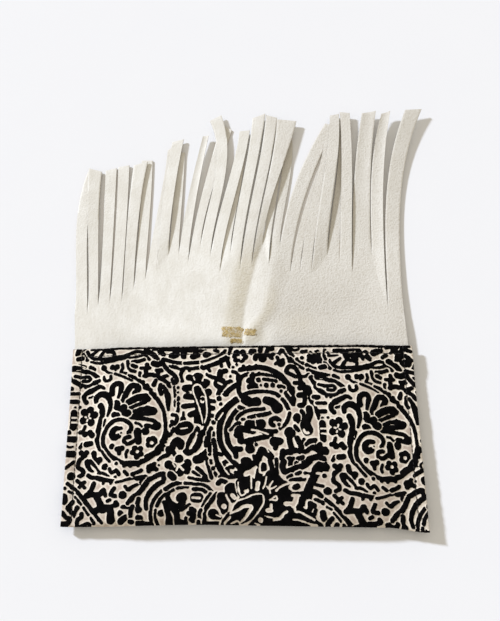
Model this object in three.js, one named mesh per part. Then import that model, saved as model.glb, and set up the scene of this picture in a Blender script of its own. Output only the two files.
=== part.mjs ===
// A fringed clutch, lying open on its back: a flat pouch of printed cloth, and an ivory suede flap cut into strips.
// Millimetres, +Z up. X runs along the pouch's mouth, Y from the pouch towards the fringe, and Z = 0 is the surface
// that it lies on. While it is built, x = 0 is the middle of the mouth and y = 0 the line of the lip.
import * as THREE from 'three';

const { lerp, clamp, smoothstep } = THREE.MathUtils;

// The pouch, as it lies
const POUCH_WIDTH = 264;
const POUCH_HEIGHT = 136;
const LIP_SLOPE = 0.0125; // the soft pouch is a little out of square, and taller at its right side
const BOTTOM_SLOPE = -0.0155;
const BOTTOM_BOW = 3.1; // the fold is drawn in by this much between its corners
const BOW_DEPTH = 40; // the draw fades out this far above the fold
const BOW_FROM = 110; // it grows to its full depth this far from the left side
const BOW_UNTIL = 235; // and goes back to nothing from here to the right side
const SIDE_SPREAD = 1; // each side stands this much further left at the lip than at the bottom

// Cloth, suede and the play between two layers
const FRONT_WALL = 1.5;
const BACK_WALL = 1.4;
const SUEDE_WALL = 1.1;
const HEM_EXTRA = 0.9; // the lip's turned hem is this much thicker
const HEM_DEPTH = 7;
const PLAY = 0.3;

// Heights of the pouch above the surface
const FLANGE = 8; // the flat edge outside each side's seam
const LIP_CORNER_LIFT = 1.8; // underside of the flange at the lip
const BOTTOM_LIFT = 4; // underside of the fold at the bottom
const LIP_HEIGHT = 10.6;
const CROWN_HEIGHT = 12.5;
const CROWN_DEPTH = 60; // the front is fullest this far below the lip
const FRONT_SIDE_RISE = 40;
const FRONT_BOTTOM_ROUND = 12;
const BACK_SIDE_RISE = 36;
const BACK_BOTTOM_RISE = 24;

// The flap's lower edge is sewn between the two panels
const LAP = 10;
const LAP_OPENING = 11; // how far below the lip the flanges stand apart to take it
const FLAP_LEFT = -135;
const FLAP_LEFT_LIP = -132.5;
const FLAP_RIGHT_LIP = 128.5;
const LIP_CLEAR = 4; // it comes down to the surface from this far past the lip
const SETTLE_MIDDLE = 30;
const SETTLE_SIDE = 90;
const LEFT_ROOT = 28; // where the flap's left edge becomes the first strip's edge
const SLIT_GAP = 1;
const SLIT_TAPER = 0.15; // share of a strip's length over which its slits open
const ROOT_LEAN = 0.3; // how much of its lean halfway a strip already has in its direction at the root

// Sections of the panels, from an edge towards the middle
const FRONT_ACROSS = [0, 4, 8, 14, 22, 34, 52, 78, 105, 132];
const FRONT_DOWN = [0, 7, 11, 22, 40, 60, 85, 108, 119, 126, 131, 134, 136];
const BACK_ACROSS = [0, 8, 16, 28, 44, 85, 132];
const BACK_DOWN = [0.5, 11, 22, 50, 90, 112, 122, 130, 136];

// Rows of the flap below the slits, and of each strip, in shares of the way along
const BODY_ROWS = [0.2, 0.4, 0.6, 0.8, 1];
const STRIP_ROWS = [0.1, 0.22, 0.36, 0.52, 0.68, 0.84, 1];

// Soft folds in the flap: a ridge between two points, its height and half its width
const FOLDS = [
  { fromX: 3, fromY: 8, toX: 26, toY: 98, height: 2.6, half: 9 },
  { fromX: 44, fromY: 12, toX: 52, toY: 70, height: 0.9, half: 12 },
  { fromX: -62, fromY: 10, toX: -66, toY: 84, height: 0.8, half: 14 },
];

// The fringe, a row for each strip from left to right.
// width: at its root. root: where the slit at its right stops, past the lip. reach: its tip, past the lip.
// leanMid, leanTip: how far it strays sideways halfway and at its tip. tip, slant: the cut end's width and slope.
// rise, mid, end: height of its underside, early on, halfway and at the tip, where it crosses or curls.
const STRIPS = [
  { width: 10, root: 28, reach: 159, leanMid: -5.3, leanTip: 0, tip: 10, slant: 2, rise: 0, mid: 0, end: 0 },
  { width: 8, root: 36, reach: 161, leanMid: -4.4, leanTip: -7.5, tip: 11.5, slant: 3, rise: 2, mid: 1.5, end: 1.25 },
  { width: 9, root: 38, reach: 162, leanMid: -1, leanTip: -2.5, tip: 9.5, slant: -3, rise: 0, mid: 0.2, end: 0.4 },
  { width: 9.5, root: 39, reach: 165, leanMid: 0, leanTip: -1, tip: 9.5, slant: -2, rise: 0, mid: 0.3, end: 0.7 },
  { width: 9, root: 50, reach: 167, leanMid: 0.5, leanTip: 4.5, tip: 12, slant: -4, rise: 1.2, mid: 1.6, end: 1.9 },
  { width: 9, root: 59, reach: 171, leanMid: 1, leanTip: 0.5, tip: 9.5, slant: 0, rise: 0, mid: 0, end: 0 },
  { width: 8.5, root: 68, reach: 184, leanMid: 6.5, leanTip: 13, tip: 7.5, slant: -6, rise: 0.1, mid: 0.3, end: 0.3 },
  { width: 9.5, root: 81, reach: 190, leanMid: 3, leanTip: 9, tip: 10, slant: -3, rise: 4.4, mid: 1.8, end: 1.7 },
  { width: 8.5, root: 82, reach: 179, leanMid: 1.5, leanTip: 2.5, tip: 7.5, slant: 0, rise: 0, mid: 0, end: 0 },
  { width: 8, root: 74, reach: 194, leanMid: 6, leanTip: 16, tip: 5, slant: -1, rise: 0.8, mid: 1.2, end: 2.8 },
  { width: 9.5, root: 88, reach: 205, leanMid: 10, leanTip: 25, tip: 10, slant: 6, rise: 0, mid: 0, end: 0 },
  { width: 8.5, root: 79, reach: 213, leanMid: 10.5, leanTip: 6.5, tip: 10, slant: -6, rise: 2.6, mid: 2, end: 2.2 },
  { width: 8, root: 65, reach: 200, leanMid: 11.5, leanTip: 24, tip: 9, slant: -1, rise: 2.8, mid: 1.7, end: 1.8 },
  { width: 8.5, root: 82, reach: 181, leanMid: 6.5, leanTip: 12, tip: 8, slant: 0, rise: 0, mid: 0, end: 0 },
  { width: 8, root: 68, reach: 215, leanMid: 9.5, leanTip: 20, tip: 11.5, slant: -5, rise: 1.8, mid: 1.4, end: 2.4 },
  { width: 9.5, root: 70, reach: 215, leanMid: 11, leanTip: 22.5, tip: 10, slant: 3, rise: 0.9, mid: 1.2, end: 1.8 },
  { width: 9, root: 90, reach: 210, leanMid: 12.5, leanTip: 26.5, tip: 17, slant: 2, rise: 5, mid: 2.6, end: 3.2 },
  { width: 5, root: 72, reach: 204, leanMid: 8, leanTip: 12, tip: 6, slant: 0, rise: 0.8, mid: 0.3, end: 0 },
  { width: 9.5, root: 90, reach: 200, leanMid: 8.5, leanTip: 12, tip: 8.5, slant: 0, rise: 0, mid: 0, end: 0 },
  { width: 8, root: 64, reach: 207, leanMid: 14, leanTip: 42, tip: 8.5, slant: 4, rise: 0, mid: 0, end: 0 },
  { width: 8, root: 65, reach: 189, leanMid: 13, leanTip: 35, tip: 5.5, slant: 0, rise: 0, mid: 0, end: 0 },
  { width: 9.5, root: 65, reach: 207, leanMid: 12, leanTip: 27, tip: 8, slant: 0, rise: 2.4, mid: 1.4, end: 1.4 },
  { width: 13.5, root: 81, reach: 216, leanMid: 9.5, leanTip: 17.5, tip: 8, slant: -2, rise: 4.8, mid: 3.2, end: 2.8 },
  { width: 10, root: 75, reach: 214, leanMid: 9, leanTip: 12.5, tip: 9, slant: 0, rise: 0, mid: 0, end: 0 },
  { width: 10, root: 65, reach: 218, leanMid: 3.5, leanTip: 5, tip: 8.5, slant: 1, rise: 4.2, mid: 1.9, end: 3.2 },
  { width: 16.5, root: 80, reach: 218, leanMid: 3.5, leanTip: 13, tip: 12.5, slant: -2.5, rise: 0.6, mid: 0.8, end: 3.6 },
  { width: 10, root: 32, reach: 217, leanMid: 2.5, leanTip: 14.5, tip: 8, slant: -3, rise: 0.5, mid: 0.8, end: 4.6 },
  { width: 12.5, root: 32, reach: 220, leanMid: 4.2, leanTip: 27.8, tip: 15, slant: -1.5, rise: 0.5, mid: 0.8, end: 5 },
];

const CLOTH = { color: 0x5d564f, roughness: 0.95, metalness: 0 };
const SUEDE = { color: 0xe8e4da, roughness: 0.9, metalness: 0 };

// A sheet with a wall: quads seen from above, joined to the same quads underneath by walls along every free edge.
function sheetSolid(tops, unders, quads) {
  const under = tops.length;
  const index = [];
  const edges = new Set();
  for (const [a, b, c, d] of quads) {
    index.push(a, b, c, a, c, d);
    index.push(under + a, under + c, under + b, under + a, under + d, under + c);
    [[a, b], [b, c], [c, d], [d, a]].forEach(([from, to]) => edges.add(`${from},${to}`));
  }
  for (const edge of edges) {
    const [from, to] = edge.split(',').map(Number);
    if (edges.has(`${to},${from}`)) continue;
    index.push(from, under + from, to, to, under + from, under + to);
  }
  const geometry = new THREE.BufferGeometry();
  geometry.setFromPoints([...tops, ...unders]);
  geometry.setIndex(index);
  geometry.computeVertexNormals();
  return geometry;
}

function namedMesh(name, geometry, finish) {
  const mesh = new THREE.Mesh(geometry, new THREE.MeshStandardMaterial(finish));
  mesh.name = name;
  return mesh;
}

// How far the soft fold at the bottom is drawn in towards the lip.
function drawnIn(side, down) {
  const across = (1 + side) * POUCH_WIDTH / 2;
  const between = smoothstep(across, 0, BOW_FROM) * (1 - smoothstep(across, BOW_UNTIL, POUCH_WIDTH));
  return BOTTOM_BOW * between * (1 - smoothstep(fromBottom(down), 0, BOW_DEPTH));
}

// Where a point of the pouch lies in plan: side runs from -1 to 1 across it, and down from 0 at the lip to 1.
function pouchPoint(side, down) {
  const x = side * POUCH_WIDTH / 2 - SIDE_SPREAD * (1 - 2 * down);
  const lip = LIP_SLOPE * x;
  const bottom = BOTTOM_SLOPE * x - POUCH_HEIGHT;
  return { x, y: lerp(lip, bottom, down) + drawnIn(side, down) };
}

const fromSide = (side) => (1 - Math.abs(side)) * POUCH_WIDTH / 2;
const fromLip = (down) => down * POUCH_HEIGHT;
const fromBottom = (down) => (1 - down) * POUCH_HEIGHT;

// Underside of the back panel: flat in the middle, curling up to the side seams and to the fold at the bottom.
function backHeight(side, down) {
  const seamLift = lerp(LIP_CORNER_LIFT, BOTTOM_LIFT, down);
  const sideShare = smoothstep(fromSide(side), FLANGE, FLANGE + BACK_SIDE_RISE);
  const bottomShare = smoothstep(fromBottom(down), 0, BACK_BOTTOM_RISE);
  return seamLift * (1 - sideShare * bottomShare);
}

// Top of the front panel: it lies on the back panel along the seams, is rounded over the fold and crowned between.
function frontHeight(side, down) {
  const lapShare = 1 - smoothstep(fromLip(down), LAP_OPENING, 2 * LAP_OPENING);
  const layers = BACK_WALL + PLAY + (SUEDE_WALL + PLAY) * lapShare + FRONT_WALL;
  const seamHeight = lerp(LIP_CORNER_LIFT, BOTTOM_LIFT, down) + layers;
  const crown = lerp(LIP_HEIGHT, CROWN_HEIGHT, smoothstep(fromLip(down), 0, CROWN_DEPTH));
  const intoRound = 1 - clamp(fromBottom(down) / FRONT_BOTTOM_ROUND, 0, 1);
  const bottomShare = Math.sqrt(1 - intoRound ** 2);
  const sideShare = smoothstep(fromSide(side), FLANGE, FLANGE + FRONT_SIDE_RISE);
  return lerp(seamHeight, crown, sideShare * bottomShare);
}

function frontWall(side, down) {
  const sideShare = smoothstep(fromSide(side), FLANGE, FLANGE + FRONT_SIDE_RISE);
  return FRONT_WALL + (fromLip(down) <= HEM_DEPTH ? HEM_EXTRA * sideShare : 0);
}

// A panel of the pouch, on a grid of the sections listed above.
function panelGeometry(across, downs, topOf, wallOf) {
  const half = POUCH_WIDTH / 2;
  const left = across.map((inset) => inset / half - 1);
  const sides = [...left, ...left.slice(0, -1).reverse().map((side) => -side)];
  const tops = [];
  const unders = [];
  for (const distance of downs) {
    const down = distance / POUCH_HEIGHT;
    for (const side of sides) {
      const { x, y } = pouchPoint(side, down);
      const top = topOf(side, down);
      tops.push(new THREE.Vector3(x, y, top));
      unders.push(new THREE.Vector3(x, y, top - wallOf(side, down)));
    }
  }
  const quads = [];
  for (let row = 1; row < downs.length; row++) {
    for (let column = 1; column < sides.length; column++) {
      const corner = row * sides.length + column;
      quads.push([corner - 1, corner, corner - sides.length, corner - sides.length - 1]);
    }
  }
  return sheetSolid(tops, unders, quads);
}

const frontPanel = () => panelGeometry(FRONT_ACROSS, FRONT_DOWN, frontHeight, frontWall);
const backTop = (side, down) => backHeight(side, down) + BACK_WALL;
const backPanel = () => panelGeometry(BACK_ACROSS, BACK_DOWN, backTop, () => BACK_WALL);

function foldHeight({ fromX, fromY, toX, toY, height, half }, x, y) {
  const along = clamp((y - fromY) / (toY - fromY), 0, 1);
  const away = clamp(Math.abs(x - lerp(fromX, toX, along)) / half, 0, 1);
  const start = smoothstep(y, fromY - LIP_CLEAR, fromY + half);
  return height * start * (1 - away ** 2) ** 2;
}

// Underside of the flap, up to its slits: it leaves the mouth on top of the back panel and settles on the surface.
function flapHeight(x, y) {
  const side = clamp(2 * x / POUCH_WIDTH, -1, 1);
  const down = clamp(-y / POUCH_HEIGHT, 0, 1);
  const lap = backHeight(side, down) + BACK_WALL + PLAY;
  const settle = lerp(SETTLE_MIDDLE, SETTLE_SIDE, smoothstep(Math.abs(side), 0.5, 1));
  const lapShare = 1 - smoothstep(y, LIP_CLEAR, settle);
  return FOLDS.reduce((sum, fold) => sum + foldHeight(fold, x, y), lap * lapShare);
}

const bezier = (a, b, c, d, t) => {
  const s = 1 - t;
  return s ** 3 * a + 3 * s * s * t * b + 3 * s * t * t * c + t ** 3 * d;
};

// One point of a strip: across is -1, 0 or 1 for its left edge, middle and right edge, and t runs from root to tip.
// It leaves its root with a share of its lean, and its second handle is set so that it passes leanMid halfway.
function stripPoint(strip, across, t) {
  const { width, reach, leanMid, leanTip, tip, slant, rise, mid, end, centre, roots } = strip;
  const start = ROOT_LEAN * leanMid;
  const handle = (8 * leanMid - leanTip) / 3 - start;
  const open = SLIT_GAP * smoothstep(t, 0, SLIT_TAPER);
  const wide = lerp(width - open, tip, t * t);
  const rootY = lerp(roots[0], roots[1], (across + 1) / 2);
  const rootZ = flapHeight(centre + across * width / 2, rootY);
  const x = centre + bezier(0, start, handle, leanTip, t) + across * wide / 2;
  const y = lerp(rootY, reach - across * slant / 2, t);
  return new THREE.Vector3(x, y, bezier(rootZ, rise, mid, end, t));
}

// The strips with what follows from their neighbours: each one's middle at its root, and the slit on either side.
function strungStrips() {
  let left = FLAP_LEFT;
  return STRIPS.map((row, n) => {
    const centre = left + row.width / 2;
    const roots = [n ? STRIPS[n - 1].root : LEFT_ROOT, row.root];
    left += row.width;
    return { ...row, centre, roots };
  });
}

// The flap and its fringe as one sheet. Below the slits, strips share the points of the slit's line; above, none.
function flapGeometry() {
  const strips = strungStrips();
  const flapWidth = STRIPS.reduce((sum, { width }) => sum + width, 0);
  const unders = [];
  const quads = [];
  const add = (point) => unders.push(point) - 1;
  const bodyColumn = (x, root) => {
    const share = (x - FLAP_LEFT) / flapWidth;
    const lipX = lerp(FLAP_LEFT_LIP, FLAP_RIGHT_LIP, share);
    const at = (atX, y) => add(new THREE.Vector3(atX, y, flapHeight(atX, y)));
    const lip = LIP_SLOPE * lipX;
    const column = [at(lipX, lip - LAP), at(lipX, lip - PLAY), at(lipX, lip + LIP_CLEAR)];
    for (const share of BODY_ROWS) column.push(at(lerp(lipX, x, share), lerp(lip + LIP_CLEAR, root, share)));
    return column;
  };
  const join = (left, right) => {
    for (let row = 1; row < left.length; row++) quads.push([left[row - 1], right[row - 1], right[row], left[row]]);
  };
  let shared = bodyColumn(FLAP_LEFT, LEFT_ROOT);
  for (const strip of strips) {
    const middle = bodyColumn(strip.centre, (strip.roots[0] + strip.roots[1]) / 2);
    const right = bodyColumn(strip.centre + strip.width / 2, strip.root);
    const edges = [shared, middle, right].map((column, n) => {
      const free = STRIP_ROWS.map((t) => add(stripPoint(strip, n - 1, t)));
      return [...column, ...free];
    });
    join(edges[0], edges[1]);
    join(edges[1], edges[2]);
    shared = right;
  }
  const tops = unders.map((point) => point.clone().setZ(point.z + SUEDE_WALL));
  return sheetSolid(tops, unders, quads);
}

const clutch = new THREE.Group();
clutch.add(namedMesh('front_panel', frontPanel(), CLOTH));
clutch.add(namedMesh('back_panel', backPanel(), CLOTH));
clutch.add(namedMesh('fringed_flap', flapGeometry(), SUEDE));

// The origin is the middle of the whole clutch's underside.
const box = new THREE.Box3().setFromObject(clutch);
const middle = box.getCenter(new THREE.Vector3());
clutch.position.set(-middle.x, -middle.y, -box.min.z);
clutch.updateMatrixWorld(true);

export default clutch;
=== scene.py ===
# %% [markdown]
# # A fringed clutch
# The clutch lies open on its back. Its pouch is two panels of black and cream paisley cloth, sewn at the
# sides and folded at the bottom. Its flap is one piece of ivory suede, cut into long strips that spread
# and cross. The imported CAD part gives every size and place. This script dresses it: it makes each panel
# again with its print, its turned edges and its stitches, and the flap with every strip of the fringe.

# %% The frame
import math

import bpy
import numpy as np
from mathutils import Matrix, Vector
from mathutils.geometry import delaunay_2d_cdt


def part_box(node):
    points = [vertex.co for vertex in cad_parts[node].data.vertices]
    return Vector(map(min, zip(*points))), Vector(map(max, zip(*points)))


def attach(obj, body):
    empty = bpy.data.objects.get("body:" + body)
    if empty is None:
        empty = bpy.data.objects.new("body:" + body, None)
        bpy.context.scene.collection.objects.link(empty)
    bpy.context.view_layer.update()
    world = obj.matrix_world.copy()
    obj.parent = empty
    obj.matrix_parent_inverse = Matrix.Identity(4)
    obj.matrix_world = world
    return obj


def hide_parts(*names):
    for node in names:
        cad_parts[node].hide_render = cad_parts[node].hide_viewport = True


MM = 0.001

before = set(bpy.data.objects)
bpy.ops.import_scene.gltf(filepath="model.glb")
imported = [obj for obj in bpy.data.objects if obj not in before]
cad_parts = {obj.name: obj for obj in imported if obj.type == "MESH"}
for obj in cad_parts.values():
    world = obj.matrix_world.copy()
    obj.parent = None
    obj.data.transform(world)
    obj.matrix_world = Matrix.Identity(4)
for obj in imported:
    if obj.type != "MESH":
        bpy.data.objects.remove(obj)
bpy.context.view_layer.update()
scene = bpy.context.scene

# %% [markdown]
# ## Camera
# The photograph looks down steeply from the pouch's side, so the fringe points away from the lens. The
# camera is found from the ground up: a point on the floor, a distance and an elevation. It could be set by
# eye in the viewport, but numbers can be checked against the pouch's corners. Depth of field stays off.

# %% Camera at the photograph's angle
LOOK_AT = Vector((-3.3, -8.3, 0)) * MM
CAMERA_DISTANCE = 588 * MM
CAMERA_ELEVATION = math.radians(70)
SENSOR_HEIGHT = 36
LENS = 42.4

camera = bpy.data.objects.new("camera", bpy.data.cameras.new("camera"))
scene.collection.objects.link(camera)
camera.data.sensor_fit = "VERTICAL"
camera.data.sensor_height = SENSOR_HEIGHT
camera.data.lens = LENS
away = Vector((0, -math.cos(CAMERA_ELEVATION), math.sin(CAMERA_ELEVATION)))
camera.location = LOOK_AT + away * CAMERA_DISTANCE
camera.rotation_euler = (-away).to_track_quat("-Z", "Y").to_euler()
scene.camera = camera
print("camera stands", round(camera.location.z / MM), "mm above the floor")

# %% [markdown]
# ## Light
# Soft goods need a low light from one side, because only a raking light shows nap, folds and the strips'
# edges. A wide cool sun from the far left gives the long shadows, and an even warm world fills them, so the
# shadows come out beige, as in a studio with cream walls. The view transform is Standard, so that white
# cloth stays white.

# %% Studio light
SHADOW_PER_HEIGHT = Vector((1.85, -1.2))
SUN_STRENGTH = 4.4
SUN_SOFTNESS = math.radians(5)
SUN_COLOUR = (0.8, 0.86, 1)
FILL_STRENGTH = 0.6
FILL_COLOUR = (1, 0.925, 0.8, 1)

sun = bpy.data.objects.new("key_light", bpy.data.lights.new("key_light", "SUN"))
scene.collection.objects.link(sun)
sun.data.energy = SUN_STRENGTH
sun.data.angle = SUN_SOFTNESS
sun.data.color = SUN_COLOUR
sun.rotation_euler = Vector((*SHADOW_PER_HEIGHT, -1)).to_track_quat("-Z", "Y").to_euler()

scene.world = bpy.data.worlds.new("white_studio")
scene.world.use_nodes = True
fill = scene.world.node_tree.nodes["Background"]
fill.inputs["Color"].default_value = FILL_COLOUR
fill.inputs["Strength"].default_value = FILL_STRENGTH
scene.view_settings.view_transform = "Standard"
print("sun stands", round(math.degrees(math.atan(1 / SHADOW_PER_HEIGHT.length))), "degrees high")

# %% [markdown]
# ## Shader maths
# Nodes are easier to read as sums. This class wraps a socket, and each operator on it adds one Math node.
# Every other node comes from `node`, which takes its type, its settings and the values of its sockets. The
# methods at the end are the few nodes that the finishes use often.

# %% A socket that does sums
class Wire:
    def __init__(self, tree, socket=None):
        self.tree = tree
        self.socket = socket

    def node(self, kind, settings, sockets, output=0):
        made = self.tree.nodes.new(kind)
        for name, value in settings.items():
            setattr(made, name, value)
        for name, value in sockets.items():
            if isinstance(value, Wire):
                self.tree.links.new(value.socket, made.inputs[name])
            else:
                made.inputs[name].default_value = value
        return Wire(self.tree, made.outputs[output])

    def maths(self, operation, a, b=0.0):
        return self.node("ShaderNodeMath", {"operation": operation}, {0: a, 1: b})

    def __add__(self, other):
        return self.maths("ADD", self, other)

    def __mul__(self, other):
        return self.maths("MULTIPLY", self, other)

    def __sub__(self, other):
        return self.maths("SUBTRACT", self, other)

    def __rsub__(self, other):
        return self.maths("SUBTRACT", other, self)

    __radd__ = __add__
    __rmul__ = __mul__

    def sine(self):
        return self.maths("SINE", self)

    def axis(self, name):
        return self.node("ShaderNodeSeparateXYZ", {}, {0: self}, name)

    def stretched(self, x, y, z):
        return self.node("ShaderNodeVectorMath", {"operation": "MULTIPLY"}, {0: self, 1: (x, y, z)})

    def carried(self, name):
        """A number that the mesh carries at each of its points."""
        return self.node("ShaderNodeAttribute", {"attribute_name": name}, {}, "Fac")

    def between(self, low, high):
        ranges = {"From Min": low, "From Max": high}
        smooth_step = {"interpolation_type": "SMOOTHSTEP"}
        return self.node("ShaderNodeMapRange", smooth_step, {"Value": self, **ranges})

    def mixed(self, first, second):
        return self.node("ShaderNodeMix", {"data_type": "RGBA"}, {0: self, 6: first, 7: second}, 2)


print("shader sums ready")

# %% [markdown]
# ## Starting a finish
# A finish starts as a material with one Principled shader. `start_finish` sets what is the same all over
# straight on the shader's sockets, and returns the place in millimetres for whatever changes over it.

# %% Material helpers
def rgb(red, green, blue):
    """A screen colour, 0 to 255, as the linear colour that a shader takes."""
    shares = np.array([red, green, blue]) / 255
    linear = np.where(shares > 0.04045, ((shares + 0.055) / 1.055) ** 2.4, shares / 12.92)
    return (*(float(v) for v in linear), 1.0)


def start_finish(name, **constants):
    material = bpy.data.materials.new(name)
    material.use_nodes = True
    tree = material.node_tree
    shader = tree.nodes["Principled BSDF"]
    for socket, value in constants.items():
        shader.inputs[socket.replace("_", " ")].default_value = value
    start = Wire(tree)
    metres = start.node("ShaderNodeTexCoord", {}, {}, "Object")
    place = start.node("ShaderNodeVectorMath", {"operation": "SCALE"}, {0: metres, "Scale": 1 / MM})
    return material, shader, place


def join(wire, shader, socket):
    wire.tree.links.new(wire.socket, shader.inputs[socket])


def speckle(place, size, detail=2.0):
    """Soft noise whose lumps are about size millimetres across, from 0 to 1."""
    return place.node("ShaderNodeTexNoise", {}, {"Vector": place, "Scale": 1 / size, "Detail": detail})


def relief(height, depth):
    """A bump of depth millimetres from a height of 0 to 1."""
    return height.node("ShaderNodeBump", {}, {"Height": height, "Distance": depth * MM})


print("finish helpers ready")

# %% [markdown]
# ## The shape of the pouch
# The pouch is soft, and a little out of square. Its panels are described in cloth millimetres: `across`
# from the left edge and `down` from the lip. These formulas are the CAD part's own, so a point of the print
# lands where the CAD panel is. The front is crowned in the middle and flat at the sewn sides, and the fold
# at the bottom is drawn in a little between its corners.

# %% Pouch heights
POUCH_WIDTH = 264
POUCH_HEIGHT = 136
LIP_SLOPE = 0.0125
BOTTOM_SLOPE = -0.0155
BOTTOM_BOW = 3.1
BOW_DEPTH = 40
BOW_FROM = 110
BOW_UNTIL = 235
SIDE_SPREAD = 1
FRONT_WALL = 1.5
BACK_WALL = 1.4
SUEDE_WALL = 1.1
PLAY = 0.3
FLANGE = 8
LIP_CORNER_LIFT = 1.8
BOTTOM_LIFT = 4
LIP_HEIGHT = 10.6
CROWN_HEIGHT = 12.5
CROWN_DEPTH = 60
FRONT_SIDE_RISE = 40
FRONT_BOTTOM_ROUND = 12
BACK_SIDE_RISE = 36
BACK_BOTTOM_RISE = 24
LAP_OPENING = 11


def lerp(a, b, share):
    return a + (b - a) * share


def smooth(value, low, high):
    share = np.clip((value - low) / (high - low), 0, 1)
    return share * share * (3 - 2 * share)


def drawn_in(across, down):
    """How far the soft fold at the bottom is drawn in towards the lip."""
    between = smooth(across, 0, BOW_FROM) * (1 - smooth(across, BOW_UNTIL, POUCH_WIDTH))
    return BOTTOM_BOW * between * (1 - smooth(POUCH_HEIGHT - down, 0, BOW_DEPTH))


def pouch_plan(across, down):
    share = down / POUCH_HEIGHT
    x = across - POUCH_WIDTH / 2 - SIDE_SPREAD * (1 - 2 * share)
    return x, lerp(LIP_SLOPE * x, BOTTOM_SLOPE * x - POUCH_HEIGHT, share) + drawn_in(across, down)


def from_side(across):
    return np.minimum(across, POUCH_WIDTH - across)


def seam_lift(down):
    return lerp(LIP_CORNER_LIFT, BOTTOM_LIFT, down / POUCH_HEIGHT)


def back_under(across, down):
    side_share = smooth(from_side(across), FLANGE, FLANGE + BACK_SIDE_RISE)
    bottom_share = smooth(POUCH_HEIGHT - down, 0, BACK_BOTTOM_RISE)
    return seam_lift(down) * (1 - side_share * bottom_share)


def front_top(across, down):
    lap_share = 1 - smooth(down, LAP_OPENING, 2 * LAP_OPENING)
    layers = BACK_WALL + PLAY + (SUEDE_WALL + PLAY) * lap_share + FRONT_WALL
    crown = lerp(LIP_HEIGHT, CROWN_HEIGHT, smooth(down, 0, CROWN_DEPTH))
    into_round = 1 - np.clip((POUCH_HEIGHT - down) / FRONT_BOTTOM_ROUND, 0, 1)
    side_share = smooth(from_side(across), FLANGE, FLANGE + FRONT_SIDE_RISE)
    return lerp(seam_lift(down) + layers, crown, side_share * np.sqrt(1 - into_round**2))


print("front is", front_top(POUCH_WIDTH / 2, CROWN_DEPTH), "mm high at its crown")

# %% [markdown]
# ## From cloth to the frame
# The CAD part was moved so that its origin is the middle of its underside. The front panel's own box says
# how far, so nothing has to be measured by hand.

# %% Placing millimetres in the frame
panel_low, panel_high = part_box("front_panel")
left_foot = pouch_plan(0, 0)
right_lip = pouch_plan(POUCH_WIDTH, 0)
SHIFT = np.array([panel_low[0] / MM - left_foot[0], panel_high[1] / MM - right_lip[1], 0])


def add_piece(name, points, faces, materials, indices=None):
    """A smooth mesh from points in the pouch's millimetres, riding on the part's one body."""
    mesh = bpy.data.meshes.new(name)
    mesh.from_pydata(((np.asarray(points) + SHIFT) * MM).tolist(), [], faces)
    for material in materials:
        mesh.materials.append(material)
    if indices is not None:
        mesh.polygons.foreach_set("material_index", np.asarray(indices, dtype=np.int32))
    mesh.shade_smooth()
    mesh.update()
    piece = bpy.data.objects.new(name, mesh)
    scene.collection.objects.link(piece)
    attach(piece, "root")
    print(f"{name}: {len(points)} points, {len(faces)} faces")
    return piece


def carry(piece, name, values):
    """Store a number at each point of a piece's mesh, for its finish to read."""
    piece.data.attributes.new(name, "FLOAT", "POINT").data.foreach_set("value", values.astype(np.float32))


print("pouch frame shifts by", SHIFT.round(3), "mm")

# %% [markdown]
# ## The print
# The cloth is a woven paisley: fans, arches, leaves and scrolls in black on a cream ground. A picture could
# be laid on it, but this part carries no image, so the print is charted and every shape is cut into the
# mesh. A row of the chart is one brush stroke in cloth millimetres. `ink` lays black through its
# points, with a width that may change on the way, and `gap` scrapes cream out again. `dot` and `hole` are
# single touches with a radius. Later rows go over earlier ones, and a row that ends in a comma runs on.

# %% A brush for the chart
CELLS_ACROSS = 520
CELLS_DOWN = 268
BRUSH_STEP = 0.35
BRUSH_REACH = 3.0
LAID_UP = 0.1
CORNER_PULL = 4.5
PULLED_RIGHT_OF = 195
PULLED_BELOW = 90
PULL_ROUNDS = 4
SPREAD = 0.29
EMPTY = 9.0
grid_across = np.linspace(0, POUCH_WIDTH, CELLS_ACROSS + 1)
grid_down = np.linspace(0, POUCH_HEIGHT, CELLS_DOWN + 1)


def curve_through(points):
    """A Catmull-Rom curve through the points, sampled every brush step."""
    ends = 2 * points[[0, -1]] - points[[1, -2]]
    guided = np.vstack([ends[:1], points, ends[1:]])
    samples = []
    for a, b, c, d in zip(guided, guided[1:], guided[2:], guided[3:]):
        t = np.arange(0, 1, BRUSH_STEP / max(np.linalg.norm(c - b), BRUSH_STEP))[:, None]
        bend = (2 * a - 5 * b + 4 * c - d) * t**2 + (3 * b - a - 3 * c + d) * t**3
        samples.append(b + ((c - a) * t + bend) / 2)
    return np.vstack([*samples, points[-1:]])


def stroke(row, kind, path, radii):
    """One stroke as its distance at the places of the grid near it, below zero inside it."""
    low = path.min(axis=0) - radii.max() - BRUSH_REACH
    high = path.max(axis=0) + radii.max() + BRUSH_REACH
    columns = slice(*np.searchsorted(grid_across, (low[0], high[0])))
    rows = slice(*np.searchsorted(grid_down, (low[1], high[1])))
    across, down = np.meshgrid(grid_across[columns], grid_down[rows])
    distance = np.full(across.shape, EMPTY)
    for (x, y), radius in zip(path, radii):
        np.minimum(distance, np.hypot(across - x, down - y) - radius, out=distance)
    cuts = kind in ("gap", "hole")
    return {"row": row, "cuts": cuts, "at": (rows, columns), "distance": distance, "thin": radii.min()}


def pulled(points):
    """Where the print lies: a little nearer the lip, out to the lower right, and off the drawn-in fold."""
    across, down = points.T
    corner = smooth(across, PULLED_RIGHT_OF, POUCH_WIDTH) * smooth(down, PULLED_BELOW, POUCH_HEIGHT)
    across = across + CORNER_PULL * corner
    lower = down - LAID_UP
    for _ in range(PULL_ROUNDS):
        lower = down - LAID_UP + drawn_in(across, lower)
    return np.column_stack([across, lower])


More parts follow.
